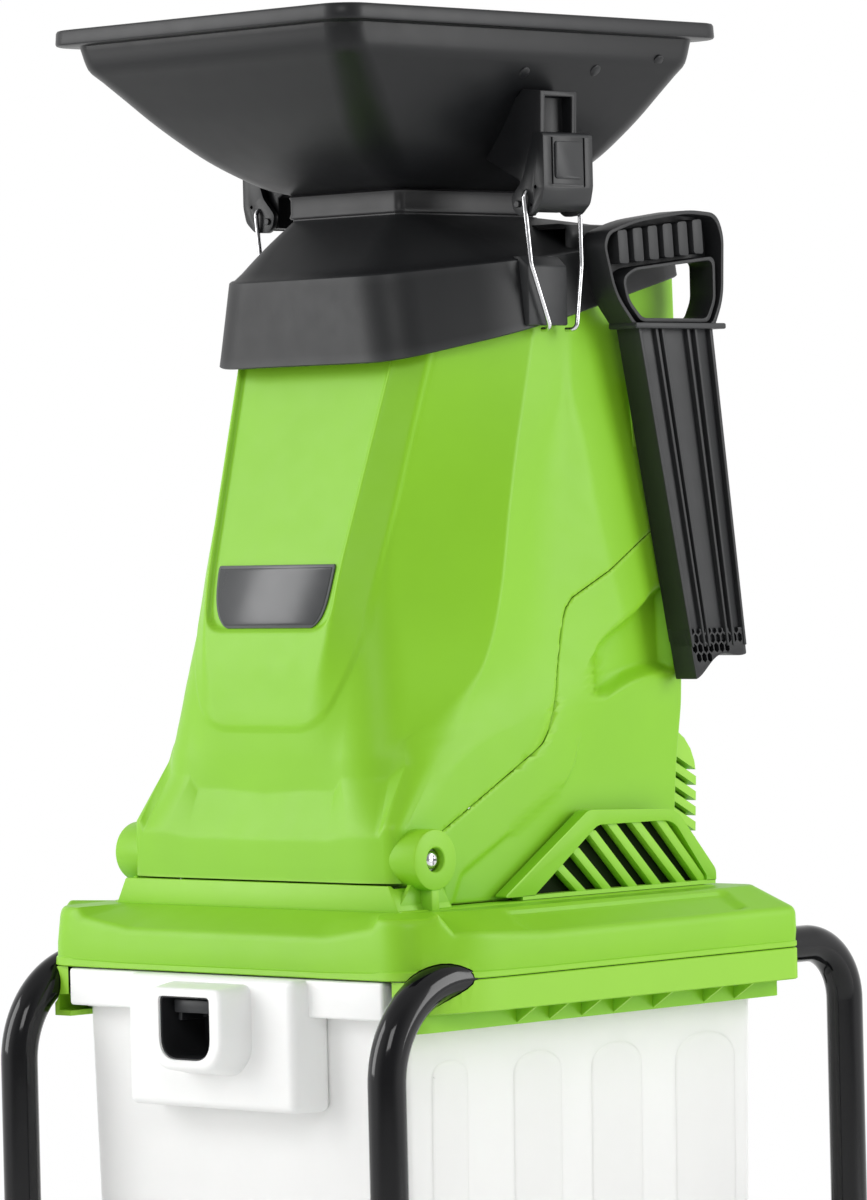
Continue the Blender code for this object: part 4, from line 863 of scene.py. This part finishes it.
def build_label():
    widths = [(169.0, 40.0), (170.5, 46.0), (174.0, 51.0), (180.0, 55.5), (190.0, 59.0), (202.0, 60.8),
              (215.5, 61.6), (217.0, 60.6)]
    for name, grow, out, look in (("label_plate_body", 0.0, 1.4, "label"),
                                  ("label_face", -2.2, 1.8, "label_face")):
        rings = []
        for k in range(25):
            z = lerp(170.0 - grow, 217.0 + grow, k / 24)
            w = smooth_value([q[0] for q in widths], [q[1] for q in widths], z) + grow
            y = recess_y(z)
            rings.append([(-w, y - out, z), (w, y - out, z), (w, y + 0.6, z), (-w, y + 0.6, z)])
        nodes = ["label_plate"] if grow == 0.0 else ()
        dress(bevel(loft(name, rings), 0.5), name, "tower", look, nodes, 30.0)


# ---------------------------------------------------------------- latches, bails and hinges
def build_latches():
    y0, y1 = LATCH_Y - 27.0, LATCH_Y + 27.0
    side = round_corners([(126.0, 487.0), (128.0, 478.0), (134.0, 473.0), (148.0, 474.0), (157.0, 482.0),
                          (160.0, 494.0), (160.0, 533.0), (156.0, 535.0), (150.0, 535.0), (138.0, 500.0)],
                          3.0, 3)
    body = prism("lever", "y", side, y0, y1)
    cut(body, prism("inside", "y", [(110.0, 460.0), (147.5, 460.0), (152.0, 486.0), (154.0, 496.0),
                                    (154.0, 545.0),
                                    (110.0, 545.0)], y0 + 4.6, y1 - 4.6))
    for ya, yb, za in ((-18.5, -16.5, 494.0), (16.5, 18.5, 494.0), (-18.5, 18.5, 494.0)):
        zb = 496.0 if yb - ya > 10.0 else 531.0
        cut(body, box("groove", 158.9, 162.0, LATCH_Y + ya, LATCH_Y + yb, za, zb))
    for y in (y0 - 1.0, y1 - 4.0):
        for x, z in ((146.0, 481.0), (151.0, 494.0)):
            cut(body, turned("hole", (x, y, z), (0, 1, 0), [(1.5, 0.0), (1.5, 6.0)], 16))
    eased(body, 0.8)
    pad = [rounded_rect_yz(15.0 - g, 14.0 - g, 3.0, x) for x,
           g in ((159.4, 0.0), (161.0, 0.0), (161.5, 0.6))]
    lever = gather("lever", [body, loft("pad", pad)])
    dress_pair(lever, "latch_%s_body", "latch_%s", "black", "latch_lever_%s")
    x = BAIL_X
    route = [(133.0, 155.5, 388.6), (139.5, 154.5, 388.4), (x, 153.5, 391.5), (x, 134.5, 437.0),
             (x, 128.4, 487.5),
             (x, 130.5, BAIL_Z), (x, 187.5, BAIL_Z), (x, 189.6, 487.5), (x, 190.0, 437.0), (x, 183.5, 391.5),
             (139.5, 182.5, 388.4), (133.0, 181.5, 388.6)]
    path, _ = rounded_path(route, [3.0] * len(route), [3] * (len(route) - 1), 4)
    wire = swept("bail", path, BAIL_R, 16)
    dress_pair(wire, "bail_%s_wire", "bail_%s", "chrome", "bail_wire_%s", 60.0)


def rounded_rect_yz(hy, hz, r, x):
    ring = rounded_rect(hy, -hz, hz, r, 0.0, 5)
    return [(x, LATCH_Y + p[0], 514.0 + p[1]) for p in ring]


def hinge_boss(s):
    r, end = BOSS_R, BOSS_LENGTH
    profile = [(r - 2.6, 0.0), (r + 0.4, 0.0), (r + 0.4, 1.2), (r, 1.8), (r, end - 1.8),
               (r - 0.6, end - 0.5),
               (r - 1.8, end), (10.0, end), (9.2, end - 0.5), (9.0, end - 1.4), (9.0, end - 10.0)]
    return turned("boss", (s * BOSS_INNER, 0, 0), (s, 0, 0), profile, 56)


def build_hinge_screws():
    profile = [(2.8, 0.0), (2.8, 40.4), (6.6, 40.4), (6.9, 41.2), (6.6, 42.4), (5.4, 43.8), (3.6, 44.4)]
    screw = turned("screw", (112.0, 0, 0), (1, 0, 0), profile, 32)
    cut(screw, box("slot", 154.4, 158.0, -3.6, 3.6, -0.75, 0.75),
        box("slot", 154.4, 158.0, -0.75, 0.75, -3.6, 3.6))
    dress_pair(screw, "hinge_screw_%s_head", "stand", "chrome", "hinge_screw_%s")


# ---------------------------------------------------------------- lid of the chip box
LID_TOP = [(-8.0, -51.0), (58.0, -55.5), (340.0, -54.5)]


def lid_half(x, y0, y1, cx, cy, z):
    """Right half of a ring of the lid; z is one height or a rule of (place, point)."""
    corners = [(0.0, y0), (x - cx, y0), (x, y0 + cy), (x, y1 - 8.0), (x - 12.0, y1), (0.0, y1)]
    pts, place = rounded_path(corners, [0.0, 22.0, 22.0, 6.0, 6.0, 0.0], (26, 8, 60, 3, 14), 8)
    return [Vector((p.x, p.y, z(t, p) if callable(z) else z)) for p, t in zip(pts, place)], place


def lid_crest(t, p):
    """Height of the lid's upper edge, which rises to a peak over each frame tube."""
    if t < 1.0:
        return line_value([(106.0, -54.0), (150.0, -47.0), (183.0, -39.5)], p.x)
    if t < 2.0:
        return line_value([(1.0, -39.5), (1.38, -36.2), (2.0, -51.0)], t)
    return line_value(LID_TOP, p.y)


def lid_full(half):
    return half + [Vector((-p.x, p.y, p.z)) for p in reversed(half[1:-1])]


def lid_shell():
    low, place = lid_half(213.0, -67.0, 348.0, 25.0, 57.0, TUBE_Z + 0.2)
    foot, _ = lid_half(212.3, -66.3, 347.3, 25.0, 57.0, TUBE_Z + 0.2)
    crest, _ = lid_half(213.0, -64.0, 347.0, 30.0, 56.0, lid_crest)
    inner, _ = lid_half(182.0, -34.0, 333.0, 26.0, 40.0, -37.0)
    plate, _ = lid_half(178.0, -30.0, 329.0, 26.0, 40.0, -37.0)
    rings = [foot, between(low, crest, 0.0, 0.8), between(low, crest, 0.14),
             [p - Vector((p.x, p.y - 140.0, 0.0)).normalized() * 0.9 for p in between(low, crest, 0.165)]]
    rings += [between(low, crest, t) for t in (0.4, 0.6)]
    for k in range(7):
        below, above = between(low, crest, 0.82), between(crest, inner, 0.115)
        t = k / 6
        rings.append([a * (1 - t) ** 2 + b * 2 * t * (1 - t) + c * t * t for a, b,
                      c in zip(below, crest, above)])
    for t in (0.15, 0.18, 0.24, 0.3, 0.5, 0.7, 0.76, 0.82, 0.88, 0.95, 1.0):
        ring = between(crest, inner, t)
        for p, w in zip(ring, place):
            if 2.0 <= w <= 3.0:
                edge = min(p.y - 43.0, 286.0 - p.y)
                sunk = ease(edge / 4.0) * ease((t - 0.14) / 0.10) * ease((0.90 - t) / 0.10)
                p += Vector((-0.5, 0.0, -0.86)) * 2.6 * sunk
        rings.append(ring)
    rings.append(plate)
    return loft("lid", [lid_full(r) for r in rings])


def build_lid_top():
    body = lid_shell()
    inner = [lid_half(209.8, -63.8, 344.8, 25.0, 57.0, TUBE_Z - 5.0)[0],
             lid_half(209.8, -60.8, 343.8, 30.0, 56.0, -58.0)[0],
             lid_half(178.0, -31.0, 329.0, 26.0, 40.0, -40.4)[0]]
    cut(body, loft("lid_in", [lid_full(r) for r in inner]))
    step = loft("step", [[(154, -30, -41), (161, 14, -41), (161, 312, -41), (-161, 312, -41),
                          (-161, 14, -41),
                          (-154, -30, -41)],
                         [(152.5, -30, -36), (157, 14, -36), (157, 308, -36), (-157, 308, -36),
                          (-157, 14, -36),
                          (-152.5, -30, -36)]])
    wall = loft("wall", [[(150, -30.5, -38), (150, 26, -38), (-150, 26, -38), (-150, -30.5, -38)],
                         [(139.5, -30.5, -18), (139.5, 26, -18), (-139.5, 26, -18), (-139.5, -30.5, -18)]])
    eased(step, 1.4)
    eased(wall, 1.2)
    for part in (body, step, wall):
        cut(part, box("outlet", -138.4, 138.4, -27.6, 120.0, -60.0, 10.0),
            turned("swing", (-140.6, 0, 0), (1, 0, 0), [(32.7, 0.0), (32.7, 281.2)], 64),
            box("rear_open", -120.0, 120.0, 150.0, 280.0, -60.0, -30.0))
    parts = [body, step, wall]
    for s in (1, -1):
        cut(body, frame_bar(s, TUBE_R + TUBE_GAP, 24))
        web = prism("web", "y", [(s * 141.2, -38.0), (s * 158.0, -38.0), (s * 158.0, -19.0),
                                 (s * 141.2, -19.0)],
                    -4.0, 4.0)
        rib = prism("rib", "x", [(-30.0, -37.0), (-14.0, -17.5), (14.0, -17.5), (30.0, -37.0)],
                    *sorted((s * 143.0, s * 147.0)))
        parts += [eased(web, 1.0), eased(rib, 0.8), hinge_boss(s)]
    dress(gather("lid", parts), "lid_top_shell", "stand", "green", ["lid_top"], 30.0)


def build_lid_base():
    def ring(x, y0, y1, cx, cy, z):
        return lid_full(lid_half(x, y0, y1, cx, cy, z)[0])
    body = loft("base", [ring(BASE_X, -75.0, 348.0, 10.0, 25.0, BASE_Z),
                         ring(BASE_X, -75.0, 348.0, 10.0, 25.0, SKIRT_Z - 1.0),
                         ring(212.2, -66.2, 347.2, 25.0, 57.0, SKIRT_Z),
                         ring(213.0, -67.0, 348.0, 25.0, 57.0, SKIRT_Z + 0.8),
                         ring(213.0, -67.0, 348.0, 25.0, 57.0, TUBE_Z - 1.2),
                         ring(212.2, -66.2, 347.2, 25.0, 57.0, TUBE_Z - 0.5)])
    inner = loft("base_in", [ring(BASE_X - 3.2, -71.8, 344.8, 10.0, 25.0, BASE_Z + 4.0),
                             ring(BASE_X - 3.2, -71.8, 344.8, 10.0, 25.0, SKIRT_Z + 2.0),
                             ring(209.8, -63.0, 344.8, 25.0, 57.0, SKIRT_Z + 3.0),
                             ring(209.8, -63.0, 344.8, 25.0, 57.0, TUBE_Z + 5.0)])
    cut(body, inner, box("mouth", -170.0, 170.0, -100.0, 345.5, -130.0, -70.0),
        box("front", -220.0, 220.0, -100.0, -62.0, -130.0, -70.0))
    parts = [body]
    for s in (1, -1):
        cut(body, frame_bar(s, TUBE_R + TUBE_GAP, 24))
        for y in GUSSETS:
            web = prism("rib", "y", [(s * (BASE_X - 1.0), BASE_Z + 0.5), (s * (BASE_X - 1.0), SKIRT_Z + 0.5),
                                     (s * 212.0, SKIRT_Z + 0.5)], y, y + 2.2)
            parts.append(eased(web, 0.4))
    dress(gather("base", parts), "lid_base_shell", "stand", "green", ["lid_base"], 30.0)


# ---------------------------------------------------------------- frame, wheels and chip box
def frame_bar(s, radius, n):
    """A bent tube of the stand: s is 1 at the left and -1 at the right."""
    front, rear = 72.0, 46.0
    route = [(LEG_Y0, z) for z in (-459.0, -300.0, TUBE_Z - front - 20.0)]
    route += arc(LEG_Y0 + front, TUBE_Z - front, front, 180.0, 90.0, 24)
    route += arc(LEG_Y1 - rear, TUBE_Z - rear, rear, 90.0, 0.0, 18)
    route += [(LEG_Y1, -300.0), (LEG_Y1, -418.0)]
    return swept("tube", [(s * TUBE_X, y, z) for y, z in route], radius, n)


def build_frame():
    wheel = [(6.5, 0.0), (17.0, 0.0), (18.0, 1.0), (18.0, 8.0), (56.0, 8.0), (58.0, 7.0), (60.0, 3.5),
             (61.5, 3.0),
             (69.0, 3.0), (72.5, 4.6), (74.6, 8.0), (75.0, 12.0), (75.0, 28.0), (74.6, 32.0), (72.5, 35.4),
             (69.0, 37.0), (61.5, 37.0), (60.0, 36.5), (58.0, 29.0), (56.0, 28.0), (20.0, 28.0),
             (20.0, 37.0),
             (19.0, 38.0), (6.5, 38.0)]
    for s, side in ((1, "left"), (-1, "right")):
        tube = frame_bar(s, TUBE_R, 40)
        dress(tube, "frame_tube_%s_bar" % side, "stand", "paint", ["frame_tube_" + side],
              40.0)
        body = turned("wheel", (s * WHEEL_X, LEG_Y1, WHEEL_Z), (s, 0, 0), wheel, 72, closed=True)
        dress(body, "wheel_%s_tyre" % side, side + "_wheel", "wheel", ["wheel_" + side],
              30.0)


def box_arch(s, y, half):
    """A faint arched rib on the side of the chip box."""
    foot, spring = -400.0, -146.0 - half * 0.6
    arch = [(y - half, foot), (y + half, foot), (y + half, spring)]
    arch += [(v, spring + (z - spring) * 0.6) for v, z in arc(y, spring, half, 0.0, 180.0, 18)[1:-1]]
    arch.append((y - half, spring))
    rings = []
    for shrink, out in ((0.0, -1.5), (0.0, 0.05), (1.2, 0.35), (3.0, 0.5)):
        share = 1.0 - shrink / half
        rings.append([(s * (lerp(162.0, BOX_X, (z - BOX_Z0) / (BOX_Z1 - BOX_Z0)) + out), y + (v - y) * share,
                       z - (shrink if z > spring else 0.0)) for v, z in arch])
    return loft("arch", rings)


def build_box():
    rings = []
    for t in (0.0, 0.004, 0.012, 0.03, 0.3, 0.6, 0.9, 1.0):
        shrink = 3.0 * (1.0 - ease(t / 0.03))
        rings.append(rounded_rect(lerp(162.0, BOX_X, t) - shrink, lerp(-45.0, BOX_Y0, t) + shrink,
                                  lerp(338.0, BOX_Y1, t) - shrink, 14.0, lerp(BOX_Z0, BOX_Z1, t)))
    body = loft("box", rings)
    cut(body, loft("box_in", [rounded_rect(159.0, -42.0, 335.0, 12.0, BOX_Z0 + 3.5),
                              rounded_rect(BOX_X - 3.0, BOX_Y0 + 3.0, BOX_Y1 - 3.0, 12.0, BOX_Z1 + 10.0)]))
    parts = [body]
    for s in (1, -1):
        flange = box("flange", *sorted((s * 165.2, s * 179.0)), -36.0, 336.0, -117.6, -114.0)
        parts.append(eased(flange, 0.8))
    front = eased(box("rim", -166.0, 166.0, -66.5, -49.5, -113.0, RIM_TOP), 2.4, 4)
    panel = loft("panel", [[(x, y, z) for x, y in ((-88.0, -80.0), (86.0, -80.0), (96.0, -49.5),
                                                   (-95.0, -49.5))]
                           for z in (-183.0, RIM_TOP)])
    ring = loft("ring", [[(x, -106.0, z) for x, z in round_corners(
        [(-38, -92), (38, -92), (38, -138), (26, -152), (-26, -152), (-38, -138)], 9.0, 5)],
        [(x, -78.0, z) for x, z in round_corners(
            [(-45, -89), (45, -89), (45, -142), (30, -158), (-30, -158), (-45, -142)], 9.0, 5)]])
    join(front, eased(panel, 6.0, 6), eased(ring, 3.0, 5, 40.0))
    cup = round_corners([(-27, -98), (27, -98), (27, -145), (-27, -145)], [4, 4, 17, 17], 7)
    cut(front, prism("cup", "y", cup, -120.0, -55.0), box("back", -78.0, 78.0, -74.0, -40.0, -178.0, -100.0))
    parts.append(front)
    for s in (1, -1):
        parts.append(box("cup_wall", *sorted((s * 31.0, s * 27.2)), -78.0, -55.0, -149.0, -95.0))
    parts.append(box("cup_back", -31.0, 31.0, -58.0, -55.0, -149.0, -95.0))
    dress(gather("box", parts), "collection_box_shell", "chip_box", "white",
          ["collection_box"])
    arches = ((2.0, 19.0), (96.0, 26.0), (183.0, 28.0), (283.0, 34.0))
    ribs = gather("ribs", [box_arch(s, y, half) for s in (1, -1) for y, half in arches])
    dress(ribs, "collection_box_ribs", "chip_box", "white", (), 2.0)
    build_cup(cup)


def build_cup(cup):
    liner = [[(x * k, y, -121.5 + (z + 121.5) * k) for x, z in cup] for k, y in
             ((0.995, -104.0), (0.995, -58.6), (0.93, -58.6), (0.93, -102.6), (0.95, -104.0))]
    liner = loft("liner", liner, closed=True)
    back = prism("back", "y", [(x * 0.96, -121.5 + (z + 121.5) * 0.96) for x, z in cup], -60.6, -58.6)
    dress(gather("liner", [liner, back]), "finger_cup_liner", "chip_box", "black_gloss", ())
    lock = box("lock", -20.5, 20.5, -92.0, -62.0, -117.0, -101.0)
    cut(lock, box("grip", -16.5, 16.5, -95.0, -70.0, -130.0, -104.5))
    lip = box("front", -20.5, 20.5, -96.0, -91.0, -111.0, -101.0)
    parts = [eased(lock, 1.0), eased(lip, 1.2)]
    dress(gather("lock", parts), "box_lock_tab", "chip_box_lock", "black", ["box_lock"])


# ---------------------------------------------------------------- side grilles
GRILLE_OUT = [(79.0, -33.0), (174.0, 27.5), (182.0, 27.5), (266.0, 24.0), (276.0, 20.0), (317.0, -25.0),
              (317.0, -33.0)]
GRILLE_IN = [(112.0, -33.5), (184.0, 16.0), (262.0, 15.5), (272.0, 12.0), (306.0, -29.0), (306.0, -33.5)]
SLATS = [((138.0, -16.0), (164.0, -35.0)), ((157.0, -5.0), (192.0, -35.0)), ((176.0, 7.0), (221.0, -35.0)),
         ((195.0, 15.0), (248.0, -35.0)), ((222.0, 15.0), (276.0, -35.0)), ((250.0, 15.0), (300.0, -35.0))]


def build_grilles():
    frame_ring = prism("grille", "x", round_corners(GRILLE_OUT, [6, 8, 8, 10, 10, 6, 1], 5), 140.4, 151.5)
    cut(frame_ring, prism("hole", "x", round_corners(GRILLE_IN, [3, 5, 5, 8, 5, 1], 4), 130.0, 160.0))
    foot = box("foot", 140.4, 151.5, 100.0, 316.0, -35.6, -32.6)
    parts = [eased(frame_ring, 1.6, 3), foot]
    for (ya, za), (yb, zb) in SLATS:
        bar = prism("slat", "x", [(ya - 3.0, za + 5.0), (ya + 8.0, za + 5.0), (yb + 11.0, zb), (yb, zb)],
                    142.0, 149.6)
        parts.append(eased(bar, 1.0))
    # A dark sheet behind the grille's openings, in the shade material: painted shade that stands for the
    # darkness inside the vent
    back = prism("back", "x", [(y, z) for y, z in GRILLE_IN], 140.4, 141.2)
    dress_pair(gather("grille", parts), "side_grille_%s", "stand", "green", "side_vent_%s")
    dress_pair(back, "side_grille_screen_%s", "stand", "shade")


# ---------------------------------------------------------------- pusher
def blade_point(x, y, z):
    """A point of the blade from its width at the top and its height: the blade narrows and leans back."""
    t = (394.0 - z) / 250.0
    left, right = lerp(239.0, 291.0, t), lerp(324.0, 354.0, t)
    return (x + lerp(0.0, 2.0, t), lerp(left, right, (y - 239.0) / 85.0), z)


def blade_bar(name, x0, x1, y0, y1, z0, z1, n=8):
    rings = []
    for k in range(n + 1):
        z = lerp(z0, z1, k / n)
        rings.append([blade_point(x, y, z) for x, y in ((x0, y0), (x1, y0), (x1, y1), (x0, y1))])
    return eased(loft(name, rings), 0.7)


def pusher_tip():
    """Solid foot of the blade with a hollowed lower edge."""
    upper, lower = [], []
    for k in range(17):
        t = k / 16
        upper.append((lerp(239.0, 324.0, t), 160.0))
        lower.append((lerp(239.0, 324.0, t), lerp(121.0, 139.0, t) + 9.0 * math.sin(math.pi * t) ** 2))
    outline = upper + list(reversed(lower))
    return eased(loft("tip", [[blade_point(x, y, z) for y, z in outline] for x in (131.0, 153.0)]),
                                 1.2, 2, 50.0)


def honeycomb():
    """Six-sided cells in the open face of the blade's foot."""
    cells = []
    for row in range(5):
        for k in range(10):
            y, z = 244.0 + 8.4 * k + 4.2 * (row % 2), 130.5 + 7.2 * row
            if z - 4.0 > lerp(121.0, 139.0, (y - 239.0) / 85.0) + 7.0 and y < 319.0:
                cell = [(y + u, z + v) for u, v in arc(0.0, 0.0, 3.9, 30.0, 330.0, 5)]
                cells.append(loft("cell", [[blade_point(x, a, b) for a, b in cell] for x in (147.0, 158.0)]))
    return gather("cells", cells)


def grown(points, d):
    """An outline made larger by d on every side."""
    us, vs = zip(*points)
    cu, cv = (min(us) + max(us)) / 2, (min(vs) + max(vs)) / 2
    ku, kv = 1.0 + 2.0 * d / (max(us) - min(us)), 1.0 + 2.0 * d / (max(vs) - min(vs))
    return [(cu + (u - cu) * ku, cv + (v - cv) * kv) for u, v in points]


def build_pusher():
    outer = round_corners([(236, 390), (327, 390), (338, 412), (340, 462), (332, 478), (300, 480),
                           (240, 472),
                           (208, 462), (203, 452), (214, 414)], [4, 6, 12, 12, 9, 12, 14, 8, 8, 14], 5)
    hole = round_corners([(245, 397), (318, 397), (326, 412), (326, 442), (238, 433), (226, 426),
                          (231, 410)],
                         [5, 5, 5, 7, 8, 6, 6], 5)
    grip = prism("grip", "x", outer, 130.0, 154.0)
    cut(grip, prism("hole", "x", hole, 100.0, 170.0))
    pocket = cut(prism("pocket", "x", grown(outer, -3.0), 137.0, 160.0),
                 prism("rim", "x", grown(hole, 3.0), 100.0, 170.0))
    cut(grip, pocket)
    parts = [eased(grip, 0.9, 2, 40.0)]
    for y0, y1 in ((222, 233), (239, 250), (256, 267), (273, 284), (290, 301), (307, 318)):
        rise = (y0 - 222) * 0.10
        bar = prism("bar", "x", round_corners([(y0, 438 + rise), (y1, 438 + rise),
                                               (y1 - 2, 464 + rise * 1.1),
                                               (y0 - 2, 463 + rise * 1.1)], 2.5, 3), 128.6, 152.5)
        parts.append(eased(bar, 0.9))
    parts.append(eased(box("flange", 129.0, 158.0, 233.0, 336.0, 389.0, 393.5), 1.2))
    parts.append(blade_bar("web", 130.0, 150.5, 240.0, 323.0, 150.0, 392.0))
    for y0, y1 in ((239.0, 242.6), (258.0, 261.2), (265.0, 268.2), (294.0, 297.2), (303.0, 306.2),
                   (320.4, 324.0)):
        parts.append(blade_bar("rib", 134.0, 154.0, y0, y1, 146.0, 390.0))
    parts.append(cut(pusher_tip(), honeycomb()))
    dress(gather("pusher", parts), "pusher_body", "pusher", "black_grain", ["pusher"])


def soften_nodes():
    """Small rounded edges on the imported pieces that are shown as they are."""
    for name, width in (("rear_vent_cover", 1.2), ("lock_knob", 1.4), ("switch_box", 1.2),
                        ("power_inlet", 0.4),
                        ("start_button", 0.6), ("stop_button", 0.6), ("pusher_bracket", 0.8),
                        ("hub_cap_left", 1.0),
                        ("hub_cap_right", 1.0), ("front_foot_left", 1.2), ("front_foot_right", 1.2)):
        obj = bevel(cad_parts[name], width)
        obj.data.shade_smooth()
        obj.data.set_sharp_from_angle(angle=math.radians(35.0))


# ---------------------------------------------------------------- camera, light and floor
AZIMUTH, PITCH, ROLL = math.radians(43.962), math.radians(0.806), math.radians(-1.357)
CAMERA_PLACE = Vector((3.3243, -3.4670, 0.7208))
LENS = 187.56


def make_camera():
    right = Vector((math.cos(AZIMUTH), math.sin(AZIMUTH), 0.0))
    forward = Vector((-math.sin(AZIMUTH) * math.cos(PITCH), math.cos(AZIMUTH) * math.cos(PITCH),
                      -math.sin(PITCH)))
    up = right.cross(forward)
    side = right * math.cos(ROLL) + up * math.sin(ROLL)
    rise = up * math.cos(ROLL) - right * math.sin(ROLL)
    data = bpy.data.cameras.new("camera")
    data.lens, data.sensor_width, data.sensor_fit = LENS, 36.0, "AUTO"
    data.clip_start, data.clip_end = 0.1, 50.0
    camera = bpy.data.objects.new("camera", data)
    camera.matrix_world = Matrix((side, rise, -forward)).transposed().to_4x4()
    camera.location = CAMERA_PLACE
    bpy.context.scene.collection.objects.link(camera)
    bpy.context.scene.camera = camera


def softbox(name, azimuth, elevation, distance, width, height, power, target=(0.0, 0.0, 0.62)):
    """A rectangular light aimed at the target; azimuth 0 is in front of the machine, 90 at its left."""
    a, e = math.radians(azimuth), math.radians(elevation)
    aim = Vector(target)
    place = aim + Vector((math.sin(a) * math.cos(e), -math.cos(a) * math.cos(e), math.sin(e))) * distance
    data = bpy.data.lights.new(name, "AREA")
    data.shape, data.size, data.size_y, data.energy = "RECTANGLE", width, height, power
    light = bpy.data.objects.new(name, data)
    light.location = place
    light.rotation_mode = "QUATERNION"
    light.rotation_quaternion = (aim - place).to_track_quat("-Z", "Y")
    bpy.context.scene.collection.objects.link(light)


def make_world():
    """White surroundings, darker where the photographer stands and overhead."""
    world = bpy.data.worlds.new("studio")
    bpy.context.scene.world = world
    world.use_nodes = True
    tree = world.node_tree
    background = tree.nodes["Background"]
    coord = tree.nodes.new("ShaderNodeTexCoord")

    def falloff(direction, start, end, low):
        dot = tree.nodes.new("ShaderNodeVectorMath")
        dot.operation = "DOT_PRODUCT"
        dot.inputs[1].default_value = Vector(direction).normalized()
        tree.links.new(coord.outputs["Generated"], dot.inputs[0])
        span = tree.nodes.new("ShaderNodeMapRange")
        span.interpolation_type = "SMOOTHSTEP"
        for key, value in (("From Min", start), ("From Max", end), ("To Min", 1.0), ("To Max", low)):
            span.inputs[key].default_value = value
        tree.links.new(dot.outputs["Value"], span.inputs["Value"])
        return span.outputs["Result"]

    product = tree.nodes.new("ShaderNodeMath")
    product.operation = "MULTIPLY"
    tree.links.new(falloff((math.sin(AZIMUTH), -math.cos(AZIMUTH), 0.0), 0.30, 0.92, DARK_SIDE),
                   product.inputs[0])
    tree.links.new(falloff((0.0, 0.0, 1.0), 0.25, 0.95, DARK_TOP), product.inputs[1])
    tree.links.new(product.outputs["Value"], background.inputs["Strength"])
    background.inputs["Color"].default_value = (1.0, 1.0, 1.0, 1.0)


DARK_SIDE, DARK_TOP = 0.30, 0.55


def make_studio():
    make_world()
    softbox("front_left", -42.0, 16.0, 2.6, 1.1, 1.8, 30.0)
    softbox("side_right", 122.0, 14.0, 2.6, 1.1, 1.8, 30.0)
    softbox("front_fill", 34.0, 26.0, 2.8, 0.9, 0.9, 13.0)
    bm = bmesh.new()
    bmesh.ops.create_grid(bm, x_segments=1, y_segments=1, size=FLOOR_R)
    floor = new_object("floor", bm)
    floor.location = (FLOOR_SHIFT, -FLOOR_SHIFT, cad_low.z - 0.0005)
    floor.data.materials.append(MATERIALS["floor"])
    bpy.context.scene.view_settings.view_transform = "Standard"


make_materials()
colour_nodes()
make_camera()
make_studio()
build_tower()
build_hopper()
build_collar()
build_label()
build_latches()
build_hinge_screws()
build_lid_top()
build_lid_base()
build_frame()
build_box()
build_grilles()
build_pusher()
soften_nodes()
